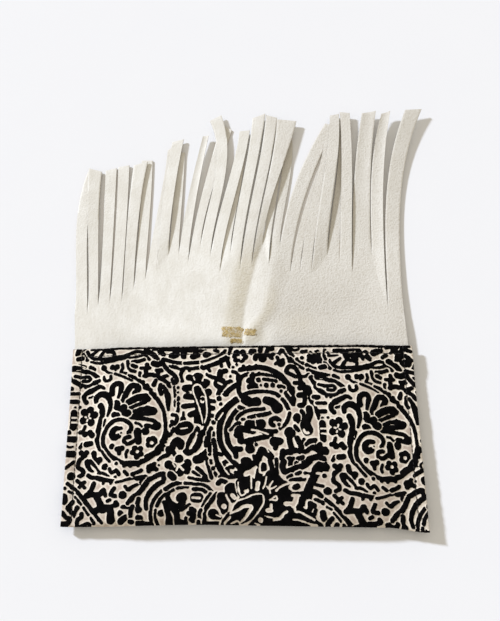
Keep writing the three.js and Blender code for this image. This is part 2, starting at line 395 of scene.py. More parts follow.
def strokes_of(chart, move=(0, 0)):
    made = []
    for row in chart.strip().replace(",\n", ",").splitlines():
        head, tail = row.split(":")
        kind, *widths = head.split()
        widths = np.array(widths, float)
        points = pulled(np.array([pair.split() for pair in tail.split(",")], float) + move)
        spread = SPREAD if kind in ("ink", "dot") else 0
        if kind in ("dot", "hole"):
            made += [stroke(row, kind, point[None], widths[:1] + spread) for point in points]
            continue
        path = curve_through(points)
        widths = np.interp(np.linspace(0, 1, len(path)), np.linspace(0, 1, len(widths)), widths)
        made.append(stroke(row, kind, path, widths / 2 + spread))
    return [one for one in made if one["distance"].size]


print("brush ready on", len(grid_across) * len(grid_down), "places")

# %% [markdown]
# ## One shape or two
# On the cloth every figure stands apart: where two come close, a thin line of cream runs between them. The
# chart doesn't say which strokes belong together, but it shows in how they meet. A stroke that starts well
# inside another is part of the same figure. One that only grazes it is a neighbour, and then it pushes the
# earlier one back by the width of a cream line.

# %% Laying the strokes
SHARED = 0.3
CREAM_LINE = 0.75


def overlap(first, second):
    """How deep two strokes lie in each other, in millimetres."""
    rows = [slice.indices(one["at"][0], CELLS_DOWN + 1) for one in (first, second)]
    columns = [slice.indices(one["at"][1], CELLS_ACROSS + 1) for one in (first, second)]
    top = max(rows[0][0], rows[1][0])
    left = max(columns[0][0], columns[1][0])
    bottom = min(rows[0][1], rows[1][1])
    right = min(columns[0][1], columns[1][1])
    if top >= bottom or left >= right:
        return 0.0
    parts = []
    for one, (row, *_), (column, *_) in zip((first, second), rows, columns):
        parts.append(one["distance"][top - row : bottom - row, left - column : right - column])
    return -np.maximum(*parts).min()


def figures_of(strokes):
    """A number for each stroke, the same for all strokes of one figure."""
    number = list(range(len(strokes)))
    for later, stroke_here in enumerate(strokes):
        for earlier in range(later):
            pair = (strokes[earlier], stroke_here)
            if number[earlier] == number[later] or any(one["cuts"] for one in pair):
                continue
            deep = overlap(*pair) / min(one["thin"] for one in pair)
            if deep > SHARED or deep > 0 and pair[0]["row"] == pair[1]["row"]:
                joined = number[later]
                number = [number[earlier] if own == joined else own for own in number]
    return number


def laid(strokes):
    """The distance from black all over the cloth, once every stroke is laid in turn."""
    field = np.full((CELLS_DOWN + 1, CELLS_ACROSS + 1), EMPTY)
    owner = np.full(field.shape, -1)
    for one, figure in zip(strokes, figures_of(strokes)):
        here = field[one["at"]]
        owner_here = owner[one["at"]]
        distance = one["distance"]
        if one["cuts"]:
            np.maximum(here, -distance, out=here)
            continue
        pushed = (owner_here != figure) & (distance < CREAM_LINE + 1)
        here[pushed] = np.maximum(here, CREAM_LINE - distance)[pushed]
        nearer = distance < here
        here[nearer] = distance[nearer]
        owner_here[nearer] = figure
    return field


print("cream lines are", CREAM_LINE, "mm wide")

# %% [markdown]
# The chart starts at the top left, where a fan hangs from the lip and a ribbed shell and small hearts lie
# under it. The arcs come first and the little leaves after them.

# %% Chart: the fan, the shell and the hearts, top left
CHARTS = []


def add_chart(rows):
    CHARTS.append(rows)
    print(rows.count("\n") - 1, "rows")


add_chart("""
ink 3.4 : 4.8 0, 4 3, 3.6 4.6
ink 1.6 : 9 0, 8.2 2
ink 3.2 : 8.4 4.6, 10 6.2, 11.6 8.8
ink 3.6 : 4.4 8.4, 7.4 7.8
ink 2.4 : 11.2 2.4, 13.5 6, 17 8.3, 24 8.8, 31 8.5, 38 7.6, 44 6, 49 3.8, 54 3.9
ink 3 2 : 14 5.6, 20 1.2
ink 3 2 : 20.8 8, 22.6 5, 25.2 1.6
ink 2.6 : 27 3, 32 3.8, 32.6 8
ink 1.8 2.4 : 14.5 10.8, 20 12, 27 11.7, 33 10.7, 39 9.3, 45 8.9, 52 8, 56 6.4, 60 10.2
ink 2.8 : 46 12.2, 52 11.6, 56 10.4
ink 1.4 : 5 12.8, 10.5 14.4
ink 3 : 14.4 15.1, 17.2 16.8
ink 4.6 3 : 1.5 16, 6 16.4, 12 19, 17 21, 20.4 23.4
gap 0.8 : 3.6 17.5, 6.6 17.2
gap 0.7 : 8.4 15.9, 13 16.8
ink 3.8 3 : 0 23.4, 3.4 27, 8 29, 14 29.4, 18 27.4, 21.5 26.2
ink 2 : 7.8 29, 7.6 31.2
ink 2 : 11 29, 11 31.4
ink 2 : 14.4 29, 14.6 31
ink 2 : 19 27, 19.6 29.4
ink 2.4 : 2.5 22, 8 23, 13 22.8, 14.6 24.6, 13 26.3, 9 26
dot 1.7 : 0.4 32.2
dot 2.2 : 25 16.2
ink 1.8 : 25 17, 28 19.6, 31 20.7
dot 2.1 : 31.8 16, 35.4 15.8
ink 2.4 1.6 : 33.4 16.4, 34.2 18.2
ink 2.4 : 25.4 23.4, 26 26, 28.6 26.8, 31 25.2, 30.6 23.2
ink 2.2 : 39.4 14, 40 17, 38.6 20, 42.6 21.5
ink 2.4 : 43.4 11.6, 44 16, 46 19, 49.4 19.9
ink 3 : 47.4 15, 50 16.2
ink 1.9 : 34 21.4, 38 23, 43 25, 47.4 27.2
ink 2 3.4 2.8 : 45 23, 48 24.3, 52 26.6, 55 29.8, 57.6 33, 62 34.5
dot 1.6 : 55.8 28.6
ink 2 : 59 30.6, 60.6 33.8
ink 2.8 : 53.3 21.4, 53.3 23.2
ink 3 : 58.2 14.2, 60.3 17
ink 2.4 : 54 17.2, 59.5 17.6
ink 3.2 : 57.6 18, 57.8 23.8
ink 3.4 : 57 23.6, 61 22.7, 65 23.6, 69 25.6, 73.6 29, 76.6 31.8
ink 4.2 : 66.6 18.8, 69.4 18.8
ink 3 : 67.5 19, 66.8 24
ink 3 : 71.4 24.6, 74 23.6
ink 2.6 3.6 : 65.4 27.4, 64.2 31
""")

# %% [markdown]
# A half lotus stands on the lip, and its petals and outer arcs open downwards.

# %% Chart: the lotus under the lip and its fan of petals
add_chart("""
ink 4 : 57.2 3.2, 61.4 5.4, 64.4 8, 66.4 11
ink 4.4 : 63.4 13.6, 66.4 14.4, 70 13.4
ink 1.8 : 63 2.4, 65.6 2.4
ink 3.6 : 68 4, 70.6 6.2
ink 2.2 2.6 : 70 2.4, 76 2.6, 82 3.2, 90 3.4, 98 3.6, 103 4
ink 5 : 77.4 7.6, 80.6 6.6
ink 3 : 80.6 3.6, 80.6 7
ink 4.4 : 86.5 4.6, 86.5 8
ink 4.4 : 93.5 8.4, 97 7.4
ink 3 : 95 3.6, 95 7
ink 2.8 2.6 : 70.6 10.4, 75 11.6, 80 13, 84.8 13.4
ink 2.6 : 87.4 13.7, 92 13.5, 98 13
ink 2 2.8 1.6 : 76 16, 80 16.9, 83.4 18.4
ink 2.8 : 84.8 18.8, 88 17.6, 92 18.2, 98.4 17.3
dot 1.3 : 91 19.4
ink 2.8 2.4 : 86.4 18.8, 84.6 21.6, 84.5 25, 85.7 28
ink 3 : 70.4 12.6, 72.8 17, 76 20.5, 79.6 23.2, 81.6 27, 80.9 29
ink 2.2 : 77.8 26.4, 79.3 30.4
ink 4 : 32.6 37.6, 32.6 31.8, 36 29.4, 39.4 31.2, 38.6 40.6
ink 4.4 : 41.6 43, 43.6 38, 46.4 32.4, 50 31.4, 52.6 33.6, 50.2 37.6
ink 5 5.4 : 46 44.4, 52 41.2, 58 40.4
dot 3 : 59.6 41.4
ink 2.6 : 46.5 49.4, 53 46.4, 58 44.6
ink 2.8 : 50.4 51.8, 55 50, 60 49
ink 5 : 60 49.8, 65 51.4
ink 3.4 : 48 56.2, 54 53.9, 60 53.3, 65 52.6
ink 2.8 : 47 56.4, 53 56.9, 60 57.8, 65 58.9, 68 61.6
dot 3.1 : 67.4 62.9
ink 3 : 66.4 64.4, 62.4 63, 59.6 62.6
ink 2.4 4 : 60.4 63, 59.4 66.6
dot 2.7 : 59.2 67
ink 1.8 : 51.6 60.7, 54.4 61.5, 56 63.2
ink 5 : 53 66.6, 53.6 70, 54 74.4
ink 5 : 36.2 45.6, 37.4 48.4, 41 51.2, 44.8 53.4
dot 2.6 : 42.2 48.6, 45.4 52.9
dot 3 : 36.3 45.6
ink 4.6 : 35.2 54, 37.4 54.6
ink 3.4 2.6 2.4 : 62.6 37, 66 41, 69.6 46, 72 51, 73.4 57, 73.9 63, 74.2 69
dot 1.6 : 64.8 38.3
ink 3.2 : 69.4 31, 68.9 34.6, 70 38
ink 2 4.6 2 : 71.4 31.6, 74.4 38, 75.4 44, 75.8 50.6
ink 2 : 79.8 33, 80.8 40.6
ink 2 : 80.8 43.4, 80.8 47.4
dot 1.1 : 82.6 33.2
dot 0.7 : 82.7 37
ink 2.2 : 83.2 41, 83 42.6
ink 2.4 : 83.3 45.8, 83.3 49, 82.6 52
""")

# %% [markdown]
# Left of the middle a great scroll turns in on itself, with rosettes, small plants and a ladder of leaves
# at the edge of the cloth.

# %% Chart: the scroll, the rosettes and the left edge
add_chart("""
ink 2.2 4.4 3.6 : 26 32.6, 23 31, 18 33.2, 13 36, 10.8 39.4, 12.6 43.2
ink 1.8 : 14.6 39.6, 17.6 38.8
ink 3.4 5 3.6 1.8 : 20.2 42.6, 20.6 39.4, 24.8 37.2, 29.8 40, 31.8 46, 31 51, 29.9 54.6
ink 4.6 4.2 2.6 : 24 46.4, 25.4 50, 25.2 57, 23.6 64, 22.8 70, 22.8 74, 25.4 80.4
ink 1.8 1 : 28.1 57.6, 27.2 62.8
ink 3 : 46.8 68.4, 48.6 64, 46 60, 41 58.1, 36 58.5, 32 61, 29 65.6, 27.4 71, 28 77, 31.4 82.6, 36 86.6,
41 89.6, 46 91.4
ink 3.4 4.4 2.6 : 45 91.2, 52 90.8, 58 89.2, 61.4 87.8
dot 1.8 : 47 67.8
ink 2 : 26.8 81.4, 30 85.8, 33.2 89.2
ink 2.6 4 5 4 : 41 64.8, 36.6 64.9, 34.2 68.2, 35.8 71.4, 39 70.6
dot 0.7 : 41.1 68
ink 2.8 : 47.6 71.3, 44 72.2, 43.6 75, 46.4 76.6, 49.6 75.2, 51.6 73.6
dot 2 : 34.5 78.2
ink 4 2.4 : 40 80.2, 40.3 83.8
dot 1.9 : 42.2 79.5, 38.7 80.3
ink 2 : 46.4 81.2, 45.3 84, 45.7 86.2
dot 1.3 : 38.5 91, 44.5 92.6, 49 92.9, 54.5 92.4
dot 2.7 : 11.5 51, 16 49.4, 19.8 53.4, 17.4 59.2, 11.2 57.4
dot 4.2 : 15 54.8
gap 1.3 : 12.4 54.6, 16.8 56
gap 1.3 : 15.4 52.6, 14 58
dot 0.55 : 14.6 55.4
ink 2.4 : 12.8 62.2, 11.4 66
dot 1.6 : 9.6 66.8
dot 2.2 : 13 68.2, 17 67.2, 18.6 69
ink 2.6 : 10 78.4, 11.6 75.8
ink 4 : 14.6 76, 18 75.6
dot 1.9 : 11.3 82.5, 15.2 82.3
ink 3 : 12.6 84, 14.4 84.6, 10.4 88, 9.6 93, 13 95.4, 13.6 98.4, 11 99.9
dot 2 : 64.8 72.3, 61.9 73.2, 61.8 77.2, 66.2 76, 66 73.6, 63.8 77.4
dot 3.2 : 64 75
hole 1.3 : 64 75.5
dot 2 : 51.6 79.8, 55.8 80.2, 56.2 84, 53.4 85.9, 50.4 82.8
dot 3.2 : 53.6 82.3
hole 1.3 : 53.7 82.2
ink 2.4 : 0 36.2, 6.4 36.2
ink 3.2 : 0 42.6, 6 42.6
dot 1 : 4 47.4, 8 47
ink 4.8 : 3.6 51.4, 3.8 63
gap 1.3 : 2.4 55.3, 7 55.3
gap 1.3 : 2.4 59, 7 59
dot 1.8 : 1 67
ink 4.6 : 1 72, 5.4 72
ink 1.3 : 0 77, 2 78.2, 4.6 77.8
ink 4.8 : 1 83.4, 5 83.2
ink 2.4 : 0.6 93.7, 5.6 89.5
dot 2.9 : 4.9 100
ink 4 2 : 21 83, 21.8 86.4, 24.8 91
dot 2.3 : 25.6 88.2
ink 4 3 1.5 : 16.2 89.2, 16.8 92, 19 95.4, 21 96.6
ink 2.8 1.6 : 18.2 88.6, 21.4 91.6, 24.4 95, 25.8 97.6
dot 2.4 : 29.8 93.2
ink 2.4 : 33.6 95, 35.2 97.8, 38.8 96, 41 99
ink 2.6 : 44.8 97, 47 99
dot 1.1 : 38 100.9
ink 2.4 1.6 : 25.4 98, 28.6 97.8, 33 100
ink 3 3.4 2.6 : 17.6 99.4, 20.4 101, 25 101.6, 30 102.8, 37 103.8
ink 2 : 30 103, 29.4 105.4
ink 2 : 36 103.4, 35 105.4
ink 2 : 39 104.6, 44 103.6, 49 102, 52 101.3
ink 3.2 2.6 : 51 98.8, 54 97.6, 57 95.9
ink 3.2 : 54 101.7, 60 100.6
ink 2.4 : 57.8 101.6, 57.2 105.4
ink 3.2 2 : 49 109.6, 51 107.8, 54.4 106.4
""")

# %% [markdown]
# Below them a long stem climbs from the bottom fold, beside a small fir and an arch made of arcs inside
# one another.

# %% Chart: the stem, the fir and the nested arch, bottom left
add_chart("""
ink 2.6 : 9.6 103.2, 13 106, 15.4 108.4
ink 2.6 : 15 104.4, 13 106, 11.6 108
dot 1.2 : 1 108.8
ink 2.6 3.4 : 2.6 105.4, 7 108.8, 12 113.5, 17 119, 21 124, 24.6 126.4
ink 1.8 : 4 111.2, 7 112.6
ink 4.4 : 1 115, 1.4 118.6
ink 1.7 : 8.6 115, 13.4 120.4
ink 1.9 : 15.6 123, 19.4 127.9
ink 2 : 21.4 130.2, 24 134
ink 2.2 : 24.4 128, 29.4 133.4
ink 3.2 : 7.4 118.8, 5.2 121.6, 4.2 123, 6.2 125.6, 8 128.4
ink 3.4 1.6 : 10.8 123, 9.6 126, 8.8 129.4
ink 3.2 : 0.5 127, 3 129.6, 6 131.2, 5 134, 1 134.6
ink 3 : 14.4 127.4, 14.4 129.6, 11.6 132.2, 11.6 136
ink 2.2 : 14.6 136, 19 134.2, 20.8 135
ink 3.4 : 22.2 105.4, 20.6 110, 18 113.4
ink 4 : 17.4 114, 22 113.4, 27 113.6, 29.6 110.6
ink 3 : 29.6 110.4, 31.4 114
ink 4.6 : 25.2 115.4, 27 119, 28.8 123, 23.6 125.4
ink 5 : 30 124.4, 33 122.8
ink 3 : 33 122.4, 37 121.8, 40.4 120.9, 39.4 119
ink 4 6 : 35.6 123, 36 127, 36 131.4
ink 3 : 37.6 109, 35.4 113.6, 38.8 114.6
ink 2.4 : 33.2 118.2, 34.8 117.4
dot 3 : 44.2 113.7
ink 2.2 : 45.6 107.6, 47.8 110.2, 50 109
ink 2.8 : 44.6 122.4, 49.6 122.2
dot 2.2 : 43 126.8
ink 4.4 : 43.2 132.4, 46.8 129.8
dot 2.5 : 72.4 126.3
ink 2.2 : 67.9 124.4, 67.4 129, 69.6 134.4, 70 138
ink 2.8 4 7 : 74.4 118.6, 76.2 123.4, 78 128.6, 78.4 136
ink 2.4 : 69.2 121.2, 70.6 118, 73.2 114.4, 77 111.6, 80.4 109.8
ink 2.4 : 72 110.8, 68.2 115, 65.6 120, 64.5 126, 65 132.4
ink 3.4 3.6 2.6 : 73 104, 69 106.2, 65 110.2, 62 114.8, 61 119, 61.6 123.4
ink 3.6 : 61.4 104.6, 58.4 109, 55.4 112.8, 51.8 115.4, 48.6 119.4
ink 3.2 : 55.8 116.6, 55 121, 56 124
dot 2.3 : 56.1 124.3
ink 3 : 51.6 121.8, 50.4 125.4, 50.4 129
ink 3.6 : 55.6 129.7, 57.4 129.7
ink 2.6 : 54.6 133.4, 60 133.4, 65.4 134
ink 3 : 50 132.6, 51.4 132.6
ink 3.4 : 62.6 102.8, 66 101, 70 99, 73.4 98.6, 73.6 102
dot 4 : 86.8 115.2
ink 4.4 4 3 : 87.6 118.8, 84 121.4, 79.6 119.6, 76.6 115, 77 112.4
ink 3 3.2 2.4 : 75 109.4, 79 106.6, 83 105.1, 86.2 105.4
ink 2.2 : 83.6 108.6, 87 108.1, 91 107.6
ink 2.2 : 89 105, 94 105
ink 3 2.4 : 86.6 123.4, 90 121.6, 92.4 120.2
ink 5 : 79 122.4, 82.6 126, 83.4 134
ink 3.2 : 83.4 129.8, 86 132, 90 132.4, 90.4 129.6
gap 0.9 : 79 125, 80.9 129, 81 136
ink 3.2 : 93.8 123, 96 124.6, 95 126.7, 92 126.2
ink 3.2 : 95 126.8, 96.2 129, 95 131, 93.6 130.4
ink 7.6 : 96.6 115.2, 98.6 115.2
gap 1.8 : 94.8 115.1, 99.4 115.2
ink 2.4 : 95.6 105.8, 101 105.6, 106 108, 109.6 111.6
ink 2.8 : 95.4 109, 101 109.4, 104 111
ink 2.2 : 107.4 112, 104 117, 102 121.4
ink 3 : 112 112, 107.4 118.2, 104.2 123, 103 129, 103 136
ink 2.4 : 100.6 123.8, 99.6 126, 99.6 129.2
ink 2.6 : 98.8 131.6, 98.8 136
""")

# %% [markdown]
# A feather leaf and a spray of flowers fill the middle, with a solid black leaf between them.

# %% Chart: the feather leaf and the flowers, middle
add_chart("""
ink 9 : 97.6 26, 98 36, 100.4 48, 101 58
ink 5 : 98 52, 97.6 60
ink 5 4 : 91 25.2, 95 26.4
ink 5 : 88 33.6, 93 33.2
ink 2.4 1.4 : 88 35, 90.8 37.4
ink 4.4 : 88.8 40.2, 95 40.6
ink 3.6 : 87 48, 92 47.4, 97 46.6
ink 4.2 : 92.4 54.4, 97 52.6
ink 5 3 : 100.6 28.4, 104.8 29.2, 103 32.4
dot 2.8 : 105.5 37
ink 2 : 105.4 38, 105 40.6
ink 3 : 105.5 44, 110 44
ink 3.6 : 106 49, 109 49.4
ink 2.8 : 106 55, 108.8 55.1
ink 2.6 : 105.4 58, 107 59.2
ink 2.6 : 105 42, 106.2 50, 105.6 57, 104.6 62, 102.4 67.6
gap 0.9 : 94.2 24.8, 95.2 27
gap 1 : 102.2 24.6, 101 27.6
gap 1.2 : 94.6 38.6, 93.8 34, 95 31.6, 97.4 30.8, 99.6 32, 101.6 35.4, 103.2 39, 104 44, 104.6 50,
104.2 56, 102.8 60.4
gap 1.1 : 94.6 38, 96.4 42.6, 99 50, 100.6 56, 101.6 61
gap 3 : 101.2 41, 101.2 44
dot 1.3 : 101.4 42.2
gap 1.4 : 95 61.6, 99.6 62.4
ink 3.2 : 97.6 65, 99.4 70
ink 2 : 95.3 66.6, 95 70
ink 4.4 : 101.5 68, 99.8 72.6, 97.5 78, 95.5 80.6
ink 3.4 : 95.4 67, 92.6 73, 90 78, 89.6 82
ink 3.4 : 98 76, 95.5 80, 91.6 83.4, 89 82
gap 1.4 : 92.8 79.4, 95 74, 97.4 68
ink 1.6 : 87 52.4, 87 56
dot 2.3 : 86.6 58.3
ink 4.6 : 80 65.6, 84 63.4, 89 61.8, 92.2 63, 91 66, 86.6 67.6, 83.4 67
gap 0.9 : 85.2 64.9, 90.2 64.2
ink 2.8 : 79 54.3, 81.8 55.2, 82.2 58, 80.6 61, 77.8 63
dot 1.5 : 78.8 59.8
ink 2.2 : 80 65, 78.6 68, 76.6 70.6
ink 4.4 : 74.6 68.6, 73.6 72, 72 75
dot 0.9 : 74.7 75
ink 5 4 : 61.6 86.2, 65 84.2, 69 82.4
ink 4 : 67 83, 69 79.6, 70.6 78
ink 2.6 : 70 77.7, 72.6 77.8, 72.3 80.5
ink 2 3.6 : 69.4 88.2, 72.6 86, 75.6 84.6, 77.4 82.4
ink 4.6 : 76.6 80.6, 79 79.4, 80.4 76, 83 73.6, 85.8 75.6, 85.3 78.4
ink 3 : 79 81, 81 84
dot 3 : 76.8 91.6, 84.6 87.4, 90.6 90.6, 90.2 95.4, 85 97.2, 80.6 95.2
dot 4 : 84 92
gap 1.3 : 84 91.8, 80 89.4
gap 1.4 : 84 91.8, 87.6 90
gap 1.5 : 84 91.8, 87.6 95.4
gap 1.3 : 84 91.8, 82.6 95.8
hole 1.5 : 84 91.8
ink 5 : 78.4 99, 80.4 100.8
gap 1.4 : 80.1 90.8, 81.4 93
ink 5.6 : 63.4 94, 66.2 93.4
dot 1.7 : 62.6 96.4, 66.6 91.4, 67.8 95
dot 0.8 : 69.7 92
ink 5.8 : 97.2 87.9, 100.2 87.2
ink 2.4 : 99 85.4, 103.6 82
ink 2.2 : 94.8 96.8, 100.7 100
ink 2.8 2.4 : 97.9 94.2, 102.1 97.8, 105.7 101.4
ink 2.2 : 91.8 101, 98.9 102.2, 105 103
ink 3 : 103 100.6, 106.4 102.4
ink 2.4 : 104 81.3, 104.6 87.2, 106 93.5, 107.6 98.9, 108.2 101
dot 1.1 : 106.8 84
ink 2 : 107.7 88.3, 108 90.4
dot 1.2 : 109.3 94
ink 2.1 : 110.9 97.5, 112 99.5
ink 2.8 : 104.5 72, 104 77.4
ink 3 : 106 68, 107 75, 107 81
ink 3.4 2.4 : 107.6 64.8, 106 70
dot 1.6 : 109.6 60.3
ink 1.6 : 109.7 67.8, 109.7 71
ink 3 : 109.7 73.4, 110.8 78, 111 84, 112 89
ink 2.6 : 111 83, 115.4 84
ink 2.8 : 117.2 90, 119.6 88.8
ink 2 : 117.4 90, 117.8 93.4
ink 4 : 113 91.4, 115 95, 117.6 99
ink 2.4 : 119.4 94.4, 121.6 93.2, 123.6 93.2
ink 3.4 : 119.6 95, 120.4 98, 123.4 99.8
gap 0.9 : 117.2 94, 120.9 98.8
ink 3 : 126 97.5, 130.4 98
ink 3 : 114.6 100.4, 122 100.2, 128.4 99.6
ink 3.4 : 113 105, 115 103, 118 103.6
""")

# %% [markdown]
# The great medallion on the right is a drop of rings and rays with a dark figure inside.

# %% Chart: the medallion
add_chart("""
ink 3 : 114.5 34, 113 38.4
dot 1.9 : 113.8 42
dot 1.3 : 115 46.2
dot 2.4 : 118.7 38.3
ink 3.4 : 122.4 28.8, 119 30, 116.8 32.8, 114.4 36
ink 5 4 3.2 : 126.6 43, 122 46.6, 118.6 50.2, 117.4 53, 116 57.6, 114.4 62, 114 67, 114.4 74, 116.4 79.4,
119.6 84, 123 88, 127 92, 130 95.6
ink 2.6 : 116.6 50.4, 113 54, 112 57.4
gap 1.2 : 116.6 53, 113.2 58
ink 3.8 3.4 : 127 51.2, 124 55, 121.4 59.4, 119.6 64, 119.4 70, 120.4 75, 122.6 79, 125.4 82, 126 85.4
ink 4 : 125.4 80, 129.4 80
ink 3 2 : 128.6 60.8, 126 61.9, 124.4 64, 122 66
ink 3 : 129 48.6, 132 50
ink 4 : 115 20.6, 118.6 20.2
ink 4.6 : 114.6 22, 114 27, 116 28
ink 3 : 104.8 22.8, 108 25, 112 25.8
ink 3.8 : 112 28, 111.4 30.6, 114 33, 117 34.4
gap 1 : 112.8 29.4, 115.8 31
ink 4 : 128 31, 124 33.2, 119.6 37
gap 1.2 : 121 31.6, 117.4 35.6
dot 0.9 : 122.2 24.5
ink 2.4 3.2 : 100.6 12.6, 106.5 11, 111.5 9.2, 115.6 7, 118.4 4.2
ink 4.4 : 101.6 17, 105 16, 110 14, 115 12, 119.6 9.6
gap 1 : 101.6 15, 107 13, 113 10.6
ink 2.4 : 105 17.4, 106.6 20
ink 2.4 : 115 13.4, 115.5 16.4
ink 2.6 : 119.8 10.4, 120.6 13.6, 122 16.6
ink 2.8 2 : 123 1.4, 122 4, 121.3 6.4
ink 2.6 : 110.4 3.5, 112.6 4.3
dot 2.4 : 103.6 7
dot 1.6 : 106 6.6
dot 2.4 : 127.3 5.5, 132 5.5, 133.6 9, 131 11.4, 127 10.8, 126.2 8.4
dot 4 : 129.8 8.8
gap 1.8 : 128.2 9.2, 131 9.2
gap 1 : 130.3 7.4, 130.5 10.8
dot 1.2 : 127.2 15.4
dot 1 : 124.4 17
ink 2.4 : 124 20.8, 127 21.8, 128.6 24.6
ink 4 3 : 128.6 25, 128.8 30, 128.6 36, 130.4 40.4
ink 3 : 135.4 22.9, 131.6 24.6, 129 28
ink 3.6 4 5 : 130 19.3, 134 18.4, 138 18.1, 144 17.4, 150 18.3, 155 20.6, 160 23.8, 163 27.4, 166 31.6,
168.4 36.4
dot 1.2 : 132.4 16.4, 137 16.8, 142 16
ink 2.4 : 138 24, 141 23.6, 145 23, 150 23.5, 156 25, 160 27
dot 1.2 : 139.4 22.4, 144.4 22.2
dot 2.3 : 136.6 28, 139.6 26.6, 137 33, 141.4 32.4, 139.4 30
dot 1.9 : 143.7 27.5
ink 2.4 : 147.6 27, 152 27.5, 157 28.6
dot 1 : 145.4 31.6
dot 1.8 : 149.5 31.7, 154.3 31.7
ink 2.8 : 159 32.5, 162.6 33.4
dot 1.2 : 160.8 36.3
ink 3 2.6 : 132.4 38.9, 136 37.6, 141 36.7, 146 36.6, 151 37, 156 38, 159 40.4
ink 7 : 133.6 43, 138 45.2, 142 44.4
ink 4 : 131 40.4, 134 42.6
ink 2.6 : 127 57.4, 129.2 54.6, 132.4 52.5, 138 50.7, 145 50.3, 147.4 49.8
ink 2.6 : 135.8 56.5, 140.5 55.3
ink 2.2 : 131 58, 132.3 57.8
ink 3 : 143.4 55, 149 54, 152 53
ink 6 7 : 149.4 43.4, 153.6 45, 157 48.4
dot 4.1 : 157.2 49.4
ink 2.8 : 161.5 42.8, 164 46.5, 165.7 50.4
ink 2.8 2.4 : 166.5 53.4, 165 58, 162.6 62, 159 64.9
ink 4 : 164.6 38, 168 43.4, 169.6 46
ink 3.4 : 169 34, 170 44
gap 0.9 : 165.8 37, 168 40.4
ink 3.4 : 158.4 58.6, 156 57.1, 152.8 58.2, 152.3 61, 154 62.4
dot 1.2 : 158.3 61.8
ink 7 : 136 62, 140 62.4, 145 61.4
ink 4 3 : 143 65, 148 66.8, 156 66.8
gap 0.9 : 140.6 58.6, 141 62.6
ink 5 : 127 69.4, 128 66, 131 65
ink 5 : 129 70, 130 74
ink 4 : 134 66, 139 67
ink 3.6 : 133 74.4, 138 73, 146 71.4, 152 70
gap 1.4 : 138 65.6, 142 66.4, 146 67.6, 150 69
ink 5 : 136.4 74, 136.4 79
dot 3.4 : 136.5 79.8
dot 1.1 : 141 76.7
ink 5 : 145 80.6, 143 85, 142 88.6
ink 2.4 : 139 85, 140 88
ink 5 : 132.4 88.6, 135 88.6
ink 6 : 130 94, 134 92.2, 139 91.4, 143 90
ink 5 : 144 92, 143 97, 142 103
ink 7 5 : 154.6 74.6, 158.6 74.2
ink 4 3 : 155.6 76, 155.2 79.4
ink 5 : 145 81, 149 83, 151.4 85.4
gap 0.9 : 148.6 79, 150 82
ink 3.4 : 150.9 88.6, 152 92, 152.7 95
ink 4.4 : 146.3 92, 146.3 93.6
ink 2.2 3 : 155.7 87.4, 155.9 93, 155.4 100
""")

# %% [markdown]
# The last strokes of the repeat: a big leaf, the flowers at the top right, a comb of short leaves and a
# lotus at the bottom fold.

